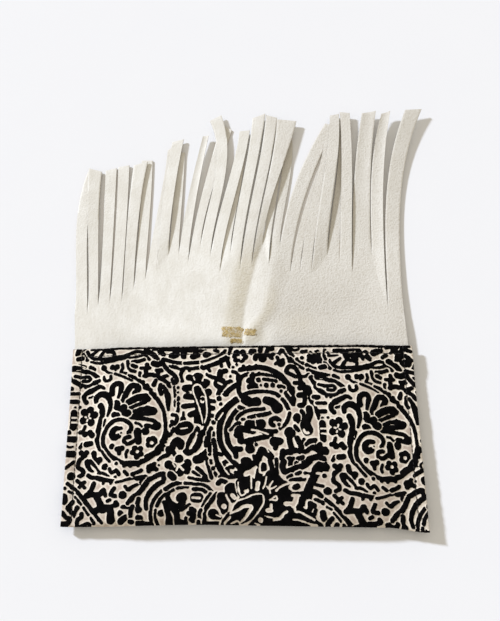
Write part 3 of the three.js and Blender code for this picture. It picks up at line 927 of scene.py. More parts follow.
# %% Chart: the leaves and flowers at the right
add_chart("""
dot 4.1 : 166.2 67.8
ink 4 : 166 70, 166 75, 167.4 80
ink 2.8 : 170.4 63.4, 172.6 66
ink 4 3 : 164 82, 167 81.4, 171 80.8, 175 82.2, 179 80.8
ink 4 : 171.4 72.2, 173.4 76, 174.4 80
ink 2.4 : 176.3 73, 175.6 77
ink 3.4 : 178.6 76.2, 181 74.2, 184.6 73.4
ink 2.4 5 5 : 178.4 80.6, 183 78.8, 187.4 80, 191.4 80.6
ink 4 : 176 89, 181 86.6, 186 85.6, 190 86.6
ink 4 : 160.6 81.6, 160 86.4
ink 3.6 : 161 82, 166 83
ink 3.4 : 164.4 87, 168.6 87.4
ink 3 : 166 88.6, 165.5 91.4
ink 3 : 171.6 86.8, 175 85.6
dot 1.4 : 170.1 90
ink 4.2 : 161 89, 160 93, 162 96.4, 166 95.2, 170.4 93.6, 176 91.4, 180 88.6
ink 2.6 : 163.8 100.2, 166.5 98.8
ink 2.6 : 170 97.8, 172.6 96.7
ink 1.8 : 176 97, 180 97.2
ink 2.8 : 165.6 102.6, 170 101.4, 175.4 101.4
ink 6 : 190 91.4, 186 92.4, 183 98, 181 102
dot 2.6 : 139 5
ink 3.6 : 139 4.8, 141 4.4
ink 3.6 : 141.6 10.6, 142.2 8.4, 146 8.2
dot 3.2 : 147 10.3
ink 3.6 : 145.8 2.5, 145.5 4.2
ink 3.4 3 : 154.8 2.8, 151.5 3.3, 149.8 6.5, 147.6 9.6
ink 3 : 149 7.6, 153 7.8, 155.6 7
ink 2.6 : 152 8.4, 154.4 10.4
ink 2.6 3 : 159.6 7.4, 161.8 3.8, 163 3.2, 164.8 6, 167 9.6, 168 13
ink 2.4 : 158.4 9.4, 159.2 13, 157 14.8
dot 3.1 : 161.2 14.2
ink 2.4 : 163 11.4, 163.3 14.6
ink 3 : 166.6 2.8, 168 5.4, 170.4 8.4
ink 2 : 169 3, 172 4, 175.2 3.2
ink 3.4 : 168 11, 171.5 13.8, 175 16.2, 178.6 18.3
ink 2.6 2.4 : 173.6 11.2, 176 13, 178.3 14.6
dot 1.5 : 177.5 10.2
ink 3.2 2.4 : 178 5.4, 181 4.8
dot 1.1 : 184.3 5.5
ink 2 : 188 5.3, 190 4.8
dot 2 : 183.4 9, 187 8.8, 190.6 8.4, 190.6 12, 186 13.2, 183 12
dot 3.4 : 187 11
ink 3 2.6 : 181 16, 184 18, 187.4 18.8
ink 3 : 181.6 20, 185 21.4, 189 22.6, 192 23.6
ink 3.2 : 172 25, 168.6 23.3, 165.6 21.6, 165.6 18.6, 168 16.9, 171.5 18, 173.6 21, 175.2 25, 175.6 29
ink 2.6 : 175.6 25, 178.6 25, 182 23.4
ink 3.2 : 171 30, 174.6 30, 177.6 30.6
ink 4 : 175 34, 178 33.2, 181.4 34
ink 4 3 : 184 26, 185.6 29.4, 188 33.4
ink 4 : 174 39.6, 177.6 39
ink 3.6 : 174 47.3, 177.6 47.3
ink 3 : 178.6 35, 178.4 42, 177.8 47
ink 3 : 182.4 36, 182.6 43, 185 47.4, 187 52, 188.6 57
ink 3 : 185 41, 188.6 41
ink 5 : 181.2 50, 181.4 54, 179.6 58.4
dot 3.2 : 172 56.7
ink 2.6 : 172.6 58, 173 60
ink 3 : 175.4 51.8, 177 54.4, 177 58.4
ink 8 : 178 62.6, 179.4 66
gap 1.6 : 176.6 65.8, 178 68, 180 67.8
ink 6 8 4 : 115.4 113.6, 116 117.6, 117 121.6, 117 124.6
hole 2 : 117.2 121
dot 3.8 : 109.4 126.4
ink 3 : 111 128.4, 114 128.6
gap 1 : 111.6 127, 115 128.2
ink 2.8 : 105 133, 113 132.8
ink 3 : 120.6 127.4, 117.4 131, 115.4 135
ink 9 : 122.6 108.6, 122 114.6
ink 14 : 133 105, 134 110
ink 22 : 139 118, 150 115, 165 117, 170 119
ink 14 : 124 131, 140 129, 160 129, 176 130
ink 12 : 129 124, 142 108, 150 104
ink 10 : 152 100, 158 106, 172 112, 176 112
gap 1.6 : 118.6 113, 120.4 116.4, 122 119
gap 3.2 : 123.2 113.2, 124.8 114.8
gap 1.3 : 127.4 104, 127.8 109, 129.4 113, 132.4 112, 134.4 109
gap 2.8 : 132.8 110.2, 134 110.2
gap 1.1 : 137 100, 137 108
gap 3.2 : 142 104.4, 141.2 108.6
gap 1.2 : 121.6 126, 124 120.2, 128 116.6, 133 115, 138 112.6, 142 111.9, 145 112.6, 145.8 116,
145 119.4, 142 124, 137.4 129.6, 133 132.6, 129 133.4
gap 1.8 3 1.2 : 122.6 125.4, 128 123, 131 121, 136 120.6, 136.4 122.4, 134.4 125.8, 132 129, 129 132
gap 1 : 122 132.6, 127 131, 128.6 134
gap 1.4 : 121.6 128, 117.6 132.4
hole 1.8 : 143.3 130
gap 0.8 : 139 132, 145 134
gap 1.2 : 148 100, 147 105, 145.5 108
gap 1.2 : 152.5 103, 150 107, 150.6 111.4
gap 1 : 148 106.5, 150.4 108.4, 155 106.3
gap 1.6 : 155 109.6, 158 107, 163 104.7, 168 103.6, 172.4 104.2
gap 4 : 165.6 107.4, 167 106.6
gap 2.4 : 167 109, 174 108.4, 177 104, 179 99.6, 175 99.4
ink 4.2 : 168.8 107.2, 170.4 106.4
gap 2.2 : 166.6 112.8, 171.4 112.8
gap 4 : 169.4 114, 168.4 117, 167 119.6
gap 3.4 : 161.6 118.6, 166 118.8
gap 1.5 : 167.8 121, 168.4 124, 172 124.4, 177 127, 182 129.5, 187 133
gap 1.1 : 166.5 129.4, 170 129.6, 175 131, 180 132.5, 184 133
gap 2.2 : 153 129.5, 157 128.5, 160 125.4, 162 124.2
gap 0.9 : 145 126.8, 149 127.8, 153 128.6
gap 2 : 151 119.4, 151 123
gap 3.4 : 148.6 123.3, 150.8 123.3
gap 1.5 : 150.4 116, 154.6 113.4, 155 116, 150.4 116
gap 1.6 : 180 116.4, 177 116, 176.3 119, 176 121.4, 174.6 121
gap 3.4 2 : 133 98.4, 137 96, 140.6 93
gap 1.4 : 146 88, 143.6 91, 143.6 96.4, 146 97
""")

# %% [markdown]
# The second repeat lies lower, so a strip under the lip is left over at the right. These strokes fill it.
# The last four lay a thin black line all along the lip: partly the print's own black there, partly a
# painted shadow line where the suede meets the lip.

# %% Chart: the strip at the top right
# The last four rows are the lip's line: print's black and a painted shadow line.
TOP_RIGHT = """
ink 2.6 : 195.3 4, 194.6 8, 195.6 11
ink 2 : 197.5 6.4, 199 8.8
ink 1.8 : 198 8.9, 202 8.6, 205.4 7.8
ink 3.6 : 203 4.6, 207 5, 211 5.4
hole 1 : 206.4 7.4
ink 4 : 212.3 11.3, 211.2 8, 213 6
ink 5.4 : 214.4 7.4, 218 8.4, 218 12
ink 1.8 : 213 3.8, 222 3.7
gap 1 : 213.5 6.2, 218 6, 222.4 4.9
ink 6 : 222 7, 226 7, 229 9.4
ink 2.4 : 223 9, 224.4 11.4
ink 2.4 : 228 10, 230 12
hole 0.9 : 225.6 7.4
gap 1.2 : 224.5 4.4, 227 3.2
ink 5 4 : 233 6.6, 238.6 4.2
ink 3 : 240 9.8, 243 8
ink 1.8 : 246.5 6.2, 251 3.9
ink 1.4 : 243 2.6, 247.5 2
ink 3 : 248.5 4, 252.5 1.5
ink 5 : 252 6.2, 255 8, 252 10
ink 4 : 256 3.5, 258.6 2
ink 2.6 : 260 4.2, 262.6 5
ink 4.4 : 258 9, 261 11.4, 260 15
hole 0.7 : 257.2 10.6
gap 6 : 188.4 102, 192.6 99
ink 6.4 5 : 188 92.4, 184 97.4, 180.6 103.6, 177.4 109
ink 2.4 : 187.6 94.2, 192.4 94.6
gap 1.6 : 184.8 97, 188 97.4
dot 1.6 : 190.2 98.8
ink 2.4 : 183 105, 188.6 106.2
ink 3.8 : 179.6 109.4, 184.4 110.8, 187 113
ink 2.6 : 183 115.4, 187.6 117.2
ink 4.2 : 179.4 118.6, 181.4 119.6
ink 2.4 : 182.8 122.8, 181.4 126.4
ink 2 : 183.4 130.6, 187.6 133.6
hole 1.8 : 258.8 133.4
ink 1.3 : 14 1, 60 1.1, 112 1
ink 1 : 112 0.9, 152 0.9
ink 0.7 : 152 0.8, 164 0.8
ink 1.4 : 164 1.1, 215 1.2, 262 1
"""
print(TOP_RIGHT.count("\n") - 1, "rows")

# %% [markdown]
# ## Painting the cloth
# The loom repeats its figure, and the panel is wider than one repeat. The chart is therefore laid twice,
# the second time further right and a little lower, as on the cloth. A woven edge is never quite clean, so
# lumps of two sizes, from a fixed seed, are added before the shapes are cut. Places that lie almost on an
# edge are moved off it, because they would give needle-thin triangles.

# %% The field of black and cream
REPEAT = (187, 9.5)
# size, amount and seed of the lumps in the print's edges
LUMPS = [(2.6, 0.11, 3), (1.2, 0.13, 4)]
OFF_EDGE = 0.07
JUST_INSIDE = 1.001


def look_up(grid, column, row):
    """A grid's value between its places, by weighing the four around it."""
    column = np.clip(column, 0, grid.shape[1] - JUST_INSIDE)
    row = np.clip(row, 0, grid.shape[0] - JUST_INSIDE)
    i = column.astype(int)
    j = row.astype(int)
    u = column - i
    v = row - j
    upper = lerp(grid[j, i], grid[j, i + 1], u)
    lower = lerp(grid[j + 1, i], grid[j + 1, i + 1], u)
    return lerp(upper, lower, v)


def unevenness(size, amount, seed):
    random = np.random.default_rng(seed)
    lumps = random.standard_normal((int(POUCH_HEIGHT / size) + 2, int(POUCH_WIDTH / size) + 2))
    return amount * look_up(lumps, *np.meshgrid(grid_across / size, grid_down / size))


def painted_cloth():
    strokes = [one for chart in CHARTS for one in strokes_of(chart)]
    strokes += [one for chart in CHARTS for one in strokes_of(chart, REPEAT)] + strokes_of(TOP_RIGHT)
    field = laid(strokes)
    for size, amount, seed in LUMPS:
        field = field + unevenness(size, amount, seed)
    return np.where(np.abs(field) < OFF_EDGE, np.copysign(OFF_EDGE, field), field)


front_print = painted_cloth()
print("black covers", round(float((front_print < 0).mean()), 3), "of the front")

# %% [markdown]
# ## Cutting the shapes
# Marching squares finds where the field passes a level: each grid square that the edge crosses gives one
# short piece of outline. Blender's own tools could trace a picture in the same way, but the field is
# already an array, so a few array operations do it.

# %% Outlines
def outline_of(field, level):
    below = field < level
    steps = np.array([POUCH_WIDTH / (field.shape[1] - 1), POUCH_HEIGHT / (field.shape[0] - 1)])
    rows_across, columns_across = np.nonzero(below[:, :-1] != below[:, 1:])
    rows_down, columns_down = np.nonzero(below[:-1] != below[1:])
    number_across = np.full((field.shape[0], field.shape[1] - 1), -1)
    number_down = np.full((field.shape[0] - 1, field.shape[1]), -1)
    number_across[rows_across, columns_across] = np.arange(len(rows_across))
    number_down[rows_down, columns_down] = np.arange(len(rows_down)) + len(rows_across)

    here = field[rows_across, columns_across] - level
    share = here / (here - field[rows_across, columns_across + 1] + level)
    on_rows = np.column_stack([columns_across + share, rows_across])
    here = field[rows_down, columns_down] - level
    share = here / (here - field[rows_down + 1, columns_down] + level)
    on_columns = np.column_stack([columns_down, rows_down + share])

    around = [number_across[:-1], number_down[:, 1:], number_across[1:], number_down[:, :-1]]
    around = np.stack(around, axis=-1).reshape(-1, 4)
    crossings = (around >= 0).sum(axis=1)
    pairs = around[crossings == 2]
    pairs = pairs[pairs >= 0].reshape(-1, 2)
    saddles = around[crossings == 4].reshape(-1, 2)
    return np.vstack([on_rows, on_columns]) * steps, np.vstack([pairs, saddles])


def field_at(field, flat):
    columns = flat[:, 0] / POUCH_WIDTH * (field.shape[1] - 1)
    rows = flat[:, 1] / POUCH_HEIGHT * (field.shape[0] - 1)
    return look_up(field, columns, rows)


print("the print's outline has", len(outline_of(front_print, 0)[1]), "pieces")

# %% [markdown]
# A constrained Delaunay triangulation now fills the panel and keeps every outline as an edge of the mesh,
# so that black and cream are separate faces. A second outline just inside the black lets the black rise
# above the cream, because it is a raised pile on the cloth. Even points in between keep the triangles small
# enough to bend with the pouch.

# %% Triangles
PILE = 0.25
PILE_SLOPE = 0.3
CREAM_SPACING = 1.3
BLACK_SPACING = 2.0
EDGE_SPACING = 2.0
CLEAR_OF_OUTLINE = 0.5
MERGED = 1e-5


def lattice(spacing):
    """Staggered points inside the panel, so that triangles come out even."""
    across, down = np.meshgrid(
        np.arange(spacing, POUCH_WIDTH - spacing / 2, spacing),
        np.arange(spacing, POUCH_HEIGHT - spacing / 2, spacing),
    )
    across[::2] += spacing / 3
    return np.column_stack([across.ravel(), down.ravel()])


def panel_edge(spacing):
    across = np.linspace(0, POUCH_WIDTH, round(POUCH_WIDTH / spacing) + 1)
    down = np.linspace(0, POUCH_HEIGHT, round(POUCH_HEIGHT / spacing) + 1)[1:-1]
    level_edges = [np.column_stack([across, np.full(len(across), at)]) for at in (0, POUCH_HEIGHT)]
    upright_edges = [np.column_stack([np.full(len(down), at), down]) for at in (0, POUCH_WIDTH)]
    return np.vstack(level_edges + upright_edges)


def triangulate(flat, joins):
    """Triangles over flat points, wound to be seen from above. Down is turned to be minus y."""
    points = [Vector((across, -down)) for across, down in flat]
    made = delaunay_2d_cdt(points, [tuple(pair) for pair in joins.tolist()], [], 0, MERGED)
    return np.array([(p.x, -p.y) for p in made[0]]), np.array(made[2])


def printed_flat(field):
    corners = np.array([(0, 0), (POUCH_WIDTH, 0), (POUCH_WIDTH, POUCH_HEIGHT), (0, POUCH_HEIGHT)])
    points = [corners]
    joins = [np.array([(0, 1), (1, 2), (2, 3), (3, 0)])]
    count = len(corners)
    for level in (0, -PILE_SLOPE):
        found, pairs = outline_of(field, level)
        points.append(found)
        joins.append(pairs + count)
        count += len(found)
    cream = lattice(CREAM_SPACING)
    black = lattice(BLACK_SPACING)
    points.append(cream[field_at(field, cream) > CLEAR_OF_OUTLINE])
    points.append(black[field_at(field, black) < -PILE_SLOPE - CLEAR_OF_OUTLINE])
    points.append(panel_edge(EDGE_SPACING))
    flat, triangles = triangulate(np.vstack(points), np.vstack(joins))
    middles = flat[triangles].mean(axis=1)
    return flat, triangles, field_at(field, middles) < 0


front_flat = printed_flat(front_print)
print("front is cut into", len(front_flat[1]), "triangles")

# %% [markdown]
# ## Finishes of the cloth
# The cream ground is a plain weave, so fine ribs run both ways. Close to the black it is pale, because the
# pile's roots show there, and in the wide gaps the ground's own mauve grey comes through. Each point of the
# mesh carries its distance from the black as `gap`, and the shader turns that into the change of colour.
# The black is a short matt pile with a fuzzy top. The inside is the ground's plain reverse.

# %% Cream ground, black pile, lining
WEAVE_PITCH = 0.62
CREAM = rgb(245, 236, 219)
MAUVE = rgb(195, 179, 164)
GREY_CREAM = rgb(222, 211, 195)
BLACK = rgb(3, 3, 3)
DULL_GROUND = rgb(172, 156, 140)
SOOT = rgb(16, 14, 15)
LINING_DARK = rgb(92, 82, 76)
LINING_PALE = rgb(128, 116, 106)


def woven(place):
    """Ribs of the two sets of threads, one over the other, from 0 to 1."""
    turn = math.tau / WEAVE_PITCH
    along_x = (place.axis("X") * turn).sine()
    along_y = (place.axis("Y") * turn).sine()
    return along_x * along_y * 0.5 + 0.5


def cloth_ground():
    material, shader, place = start_finish("cream_ground", Roughness=0.9, Specular_IOR_Level=0.25)
    gap = place.carried("gap")
    threads = woven(place)
    cloud = speckle(place, 26)
    cream = cloud.between(0.4, 0.65).mixed(CREAM, GREY_CREAM)
    colour = (gap + speckle(place, 3) * 0.5).between(0.7, 1.9).mixed(cream, MAUVE)
    worn = (speckle(place, 0.7) * threads).between(0.1, 0.75)
    # The ground is also mixed a little darker towards the bottom of the panel.
    colour = ((place.axis("Y") * -1).between(90, 175) * 0.22).mixed(colour, DULL_GROUND)
    join((worn * 0.35).mixed(colour, DULL_GROUND), shader, "Base Color")
    join(relief(threads * 0.7 + speckle(place, 0.5) * 0.6, 0.12), shader, "Normal")
    return material


def black_pile():
    material, shader, place = start_finish("black_pile", Roughness=0.95, Specular_IOR_Level=0.05)
    nap = speckle(place, 6) * 0.6 + speckle(place, 0.8) * 0.4
    join(nap.between(0.35, 0.75).mixed(BLACK, SOOT), shader, "Base Color")
    join(relief(speckle(place, 0.35, 3) + woven(place) * 0.3, 0.14), shader, "Normal")
    return material


def cloth_lining():
    material, shader, place = start_finish("plain_lining", Roughness=0.9, Specular_IOR_Level=0.25)
    threads = woven(place)
    cloud = speckle(place, 12) * 0.6 + threads * 0.3
    join(cloud.mixed(LINING_DARK, LINING_PALE), shader, "Base Color")
    join(relief(threads, 0.12), shader, "Normal")
    return material


CLOTH = [cloth_ground(), black_pile(), cloth_lining()]
print("cloth finishes:", [material.name for material in CLOTH])

# %% [markdown]
# ## The front panel
# The flat panel is now laid over the pouch's shape. Its seams pull the cloth down into shallow grooves, one
# inside each side and one along the hem. To turn the edge over later, the points on it are put in order.

# %% Seams and edges
SIDE_SEAM = 7
HEM_SEAM = 6.2
HEM_DEPTH = 7
GROOVE_DEPTH = 0.4
GROOVE_WIDTH = 0.9
ON_EDGE = 1e-4


def groove(across, down):
    """How far the seams pull the cloth in."""
    from_side_seam = from_side(across) - SIDE_SEAM
    from_hem_seam = np.where(from_side_seam > 0, down - HEM_SEAM, HEM_DEPTH)
    deep = np.exp(-((from_side_seam / GROOVE_WIDTH) ** 2)) + np.exp(-((from_hem_seam / GROOVE_WIDTH) ** 2))
    return GROOVE_DEPTH * np.minimum(deep, 1)


def edges_of(across, down):
    """Which points lie on the left side, the right side, the lip and the bottom."""
    far_right = POUCH_WIDTH - ON_EDGE
    far_down = POUCH_HEIGHT - ON_EDGE
    return across < ON_EDGE, across > far_right, down < ON_EDGE, down > far_down


def edge_order(flat):
    """The points on the panel's edge, in order, the way round that keeps the panel on the left."""
    across, down = flat.T
    way = np.full(len(flat), -1.0)
    on_left, on_right, on_lip, on_bottom = edges_of(across, down)
    way[on_left] = 2 * POUCH_WIDTH + POUCH_HEIGHT + down[on_left]
    way[on_lip] = 2 * POUCH_WIDTH + POUCH_HEIGHT - across[on_lip]
    way[on_right] = POUCH_WIDTH + POUCH_HEIGHT - down[on_right]
    way[on_bottom] = across[on_bottom]
    order = np.argsort(way)
    return order[way[order] >= 0]


def outwards(across, down):
    on_left, on_right, on_lip, on_bottom = edges_of(across, down)
    x = on_right * 1.0 - on_left
    y = on_lip * 1.0 - on_bottom
    length = np.hypot(x, y)
    return np.column_stack([x / length, y / length])


print("front has", len(edge_order(front_flat[0])), "points on its edge")

# %% [markdown]
# The edge is not cut bare: it turns over like a folded hem, so rows of points run round it in a half
# circle, and a plain inner face closes the cloth. A Solidify modifier could give the wall, but it can't
# turn the print round the edge. No cloth simulation is used: the pouch lies still and nearly flat, and the
# formulas give its shape exactly.

# %% A sewn panel
TURN_STEPS = 5
TURN_REACH = 0.35
LINING_SPACING = 8
WIDEST_GAP = 4


def sewn_panel(name, field, cut, outer, inner, turn, facing):
    """A printed panel with turned edges and a lining. facing is 1 where the print is on top, else -1."""
    flat, triangles, black = cut
    across, down = flat.T
    gap = field_at(field, flat)
    lift = PILE * smooth(-gap, 0, PILE_SLOPE) - groove(across, down)
    x, y = pouch_plan(across, down)
    points = [np.column_stack([x, y, outer(across, down) + facing * lift])]
    faces = [triangles[:, ::facing]]
    indices = [black.astype(int)]
    gaps = [gap]

    loop = edge_order(flat)
    rim = points[0][loop]
    rim_flat = flat[loop]
    out = outwards(*rim_flat.T)
    deep = turn(*rim_flat.T)
    # At the lip the turned edge is black all along: partly the print's black, partly a painted shadow line
    # where the lip meets the suede.
    at_lip = edges_of(*rim_flat.T)[2] & (facing > 0)
    rim_black = ((gap[loop] + gap[np.roll(loop, -1)]) / 2 < 0) | at_lip
    row = loop
    count = len(flat)
    for step in range(1, TURN_STEPS + 1):
        angle = math.pi * step / TURN_STEPS
        turned = rim.copy()
        turned[:, :2] += out * (deep * TURN_REACH * math.sin(angle))[:, None]
        turned[:, 2] -= facing * deep * (1 - math.cos(angle))
        below = np.arange(count, count + len(loop))
        count += len(loop)
        quads = np.column_stack([row, below, np.roll(below, -1), np.roll(row, -1)])
        faces.append(quads[:, ::facing])
        indices.append(rim_black.astype(int))
        points.append(turned)
        gaps.append(gap[loop])
        row = below

    inside = lattice(LINING_SPACING)
    joins = np.column_stack([np.arange(len(loop)), np.roll(np.arange(len(loop)), -1)])
    _, lining = triangulate(np.vstack([rim_flat, inside]), joins)
    x, y = pouch_plan(*inside.T)
    points.append(np.column_stack([x, y, inner(*inside.T)]))
    gaps.append(np.zeros(len(inside)))
    faces.append(lining[:, ::-facing] + count - len(loop))
    indices.append(np.full(len(lining), 2))

    every_face = [face for group in faces for face in group.tolist()]
    piece = add_piece(name, np.vstack(points), every_face, CLOTH, np.concatenate(indices))
    carry(piece, "gap", np.clip(np.concatenate(gaps), 0, WIDEST_GAP))
    return piece


print("an edge turns in", TURN_STEPS, "steps")

# %% [markdown]
# The front's sides turn as deep as its wall, and its lip as deep as a hem. At the bottom the cloth simply
# folds under, so the turn there is as deep as both panels.

# %% Front cloth
HEM_EXTRA = 0.9
FOLD_BLEND = 6


def front_turn(across, down):
    """Half the turned edge's height: a wall at the sides, a hem at the lip, both panels at the bottom."""
    hem = HEM_EXTRA * smooth(from_side(across), FLANGE, FLANGE + FRONT_SIDE_RISE)
    wall = (FRONT_WALL + hem * (down < HEM_DEPTH)) / 2
    fold = (BACK_WALL + PLAY + FRONT_WALL) / 2
    return lerp(wall, fold, smooth(down, POUCH_HEIGHT - FOLD_BLEND, POUCH_HEIGHT))


def front_inside(across, down):
    return front_top(across, down) - FRONT_WALL


front_cloth = sewn_panel("front_cloth", front_print, front_flat, front_top, front_inside, front_turn, 1)
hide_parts("front_panel")

# %% [markdown]
# ## The back panel
# The back is the same cloth, folded up from the bottom edge. So its print runs on upside down, and half a
# turn of the same field gives that. It lies under the clutch and is hardly seen, so its outlines are cut on
# a grid twice as coarse.

# %% Back cloth
back_print = front_print[::-2, ::-2]
BACK_RAISE = 0.35


def back_outer(across, down):
    return back_under(across, down) + BACK_RAISE


def back_inside(across, down):
    return back_under(across, down) + BACK_WALL


def back_turn(across, down):
    return np.full(len(across), (BACK_WALL - BACK_RAISE) / 2)


back_cloth = sewn_panel(
    "back_cloth", back_print, printed_flat(back_print), back_outer, back_inside, back_turn, -1
)
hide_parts("back_panel")

# %% [markdown]
# ## The flap's finish
# Suede is the flesh side of a skin, brushed to a nap. It has no shine, its colour changes softly with the
# lie of the fibres, and its edges glow a little where fibres catch the light. Noise of several sizes gives
# the change of colour and the grain, and a small sheen gives the glow. Right of the flap's crease the
# colour is darkened with painted shade, and the grain is coarser. Along the crease the skin is worn, soiled
# and finely wrinkled, and its colour there is painted darker and yellower, partly as wear and partly as
# painted shade on the crease's slope: the mesh carries how much as a number at each point. Where the skin
# is cut its core shows, browner and rougher, and the cut faces are painted darker still as shade. That is
# what makes a slit look dark.

# %% Ivory suede
IVORY = rgb(237, 235, 227)
BRUSHED = rgb(228, 225, 215)
SUEDE_SHADE = rgb(192, 185, 170)
RIGHT_PAINTED_SHADE = rgb(206, 201, 190)
SOILED_AND_SHADED = rgb(206, 196, 168)
# The cut faces: the core's own brown, painted darker as shade so that the slits look dark.
CUT_CORE_SHADE = rgb(122, 104, 82)
CUT_FUZZ_SHADE = rgb(170, 155, 132)


def ivory_suede():
    material, shader, place = start_finish(
        "brushed_suede", Roughness=0.96, Specular_IOR_Level=0.15, Sheen_Weight=0.2, Sheen_Roughness=0.5
    )
    long_grain = place.stretched(1, 0.3, 1)
    lie = speckle(place, 18) * 0.6 + speckle(long_grain, 3, 3) * 0.4
    colour = lie.between(0.36, 0.66).mixed(BRUSHED, IVORY)
    # Right of the crease the colour is mixed towards a painted shade, most on the body below the slits. The
    # same mask makes the grain coarser there.
    side = place.axis("X") + speckle(place, 30) * 30
    right_shade_and_grain = side.between(5, 45) * (0.8 - place.axis("Y").between(-10, 40) * 0.3)
    colour = right_shade_and_grain.mixed(colour, RIGHT_PAINTED_SHADE)
    worn_and_shaded = place.carried("worn_and_shaded")
    # Along the crease the colour goes darker and yellower: wear and soiling, and painted shade on the
    # crease's slope.
    colour = (worn_and_shaded * (0.15 + speckle(place, 2.5) * 0.6)).mixed(colour, SOILED_AND_SHADED)
    grain = speckle(place, 1.6, 4)
    coarse = right_shade_and_grain * 0.9 + 0.3
    join((grain.between(0.48, 0.72) * coarse * 0.5).mixed(colour, SUEDE_SHADE), shader, "Base Color")
    cross_grain = place.stretched(0.35, 1, 1)
    wrinkles = worn_and_shaded * speckle(cross_grain, 1.1) * 0.9
    fibres = (grain + speckle(place, 0.5, 3) * 0.5) * (coarse + 0.4)
    join(relief(fibres + wrinkles, 0.35), shader, "Normal")
    return material


def shaded_cut_suede():
    material, shader, place = start_finish("shaded_cut_suede", Roughness=1, Specular_IOR_Level=0.1)
    join(speckle(place, 0.6).mixed(CUT_CORE_SHADE, CUT_FUZZ_SHADE), shader, "Base Color")
    join(relief(speckle(place, 0.3), 0.1), shader, "Normal")
    return material


SUEDE = [ivory_suede(), shaded_cut_suede()]
print("flap finishes:", [finish.name for finish in SUEDE])

# %% [markdown]
# ## The flap and its fringe
# The flap is one skin. Its lower edge is sewn inside the mouth, it rises over the back panel and settles on
# the floor with a few soft folds. Twenty-seven slits cut its far side into strips. Each strip is a row of
# the table: its width at the root, where the slit on its right stops, where its tip reaches, how far it
# strays halfway and at the tip, the width and slope of its cut end, and its height early on, halfway and at
# the tip where it crosses a neighbour. The numbers are the CAD part's own.

# %% Strips of the fringe
# width, root, reach, lean halfway, lean at the tip, tip's width, slant, rise, mid, end
STRIPS = """
10 28 159 -5.3 0 10 2 0 0 0
8 36 161 -4.4 -7.5 11.5 3 2 1.5 1.25
9 38 162 -1 -2.5 9.5 -3 0 0.2 0.4
9.5 39 165 0 -1 9.5 -2 0 0.3 0.7
9 50 167 0.5 4.5 12 -4 1.2 1.6 1.9
9 59 171 1 0.5 9.5 0 0 0 0
8.5 68 184 6.5 13 7.5 -6 0.1 0.3 0.3
9.5 81 190 3 9 10 -3 4.4 1.8 1.7
8.5 82 179 1.5 2.5 7.5 0 0 0 0
8 74 194 6 16 5 -1 0.8 1.2 2.8
9.5 88 205 10 25 10 6 0 0 0
8.5 79 213 10.5 6.5 10 -6 2.6 2 2.2
8 65 200 11.5 24 9 -1 2.8 1.7 1.8
8.5 82 181 6.5 12 8 0 0 0 0
8 68 215 9.5 20 11.5 -5 1.8 1.4 2.4
9.5 70 215 11 22.5 10 3 0.9 1.2 1.8
9 90 210 12.5 26.5 17 2 5 2.6 3.2
5 72 204 8 12 6 0 0.8 0.3 0
9.5 90 200 8.5 12 8.5 0 0 0 0
8 64 207 14 42 8.5 4 0 0 0
8 65 189 13 35 5.5 0 0 0 0
9.5 65 207 12 27 8 0 2.4 1.4 1.4
13.5 81 216 9.5 17.5 8 -2 4.8 3.2 2.8
10 75 214 9 12.5 9 0 0 0 0
10 65 218 3.5 5 8.5 1 4.2 1.9 3.2
16.5 80 218 3.5 13 12.5 -2.5 0.6 0.8 3.6
10 32 217 2.5 14.5 8 -3 0.5 0.8 4.6
12.5 32 220 4.2 27.8 15 -1.5 0.5 0.8 5
"""
strips = np.array([row.split() for row in STRIPS.strip().splitlines()], float)
FLAP_WIDTH = strips[:, 0].sum()
print(len(strips), "strips over", FLAP_WIDTH, "mm")

# %% [markdown]
# When the flap is closed it folds over the front, and years of that have left a slanting crease above the
# mouth. It is low, but a raking light shows it clearly, so it is shaped and not painted. Sculpting it by
# hand would do as well. A formula can be tuned, and it also says where the skin is worn and where painted
# shade darkens it.

# %% The crease
CREASE_FOOT = (-0.9, 20)
CREASE_HEAD = (19.7, 106)
CREASE_BEND = 1.4
CREASE_HUMP = 1.7
CREASE_RIDGE = 0.9
HUMP_FROM = -130
RIDGE_FALL = 14
CREASE_STARTS = (-4, 8)
CREASE_ENDS = (75, 110)
DIMPLE = ((15, 10), (6, 8))
WORN_SHADE_PATCH = ((43, 21), (15, 10))


def crease_lines(x, y):
    """How far a point is right of the crease's valley, and there the widths of its slope and its ridge."""
    along = np.clip((y - CREASE_FOOT[1]) / (CREASE_HEAD[1] - CREASE_FOOT[1]), 0, 1)
    slope = lerp(15, 20, along)
    ridge = 1 + 14 * smooth(y, 6, 36) * (1 - 0.5 * smooth(y, 60, 112))
    return x - lerp(CREASE_FOOT[0], CREASE_HEAD[0], along**CREASE_BEND), slope, ridge


def soft_spot(x, y, middle, size):
    """A round spot that is 1 in its middle and fades out."""
    return np.exp(-(((x - middle[0]) / size[0]) ** 2) - ((y - middle[1]) / size[1]) ** 2)


def crease(x, y):
    """The old crease: a slow rise, a slope into a sharp valley, then a ridge, and a dimple at its foot."""
    off, slope, ridge = crease_lines(x, y)
    fall = np.clip(1 + off / slope, 0, 1)
    hump = smooth(off, HUMP_FROM, -slope) - fall**2 * (2 - fall)
    raised = np.clip(off / ridge, 0, 1) - smooth(off, ridge, ridge + RIDGE_FALL)
    shown = smooth(y, *CREASE_STARTS) * (1 - smooth(y, *CREASE_ENDS))
    return shown * (CREASE_HUMP * hump + CREASE_RIDGE * raised - soft_spot(x, y, *DIMPLE))


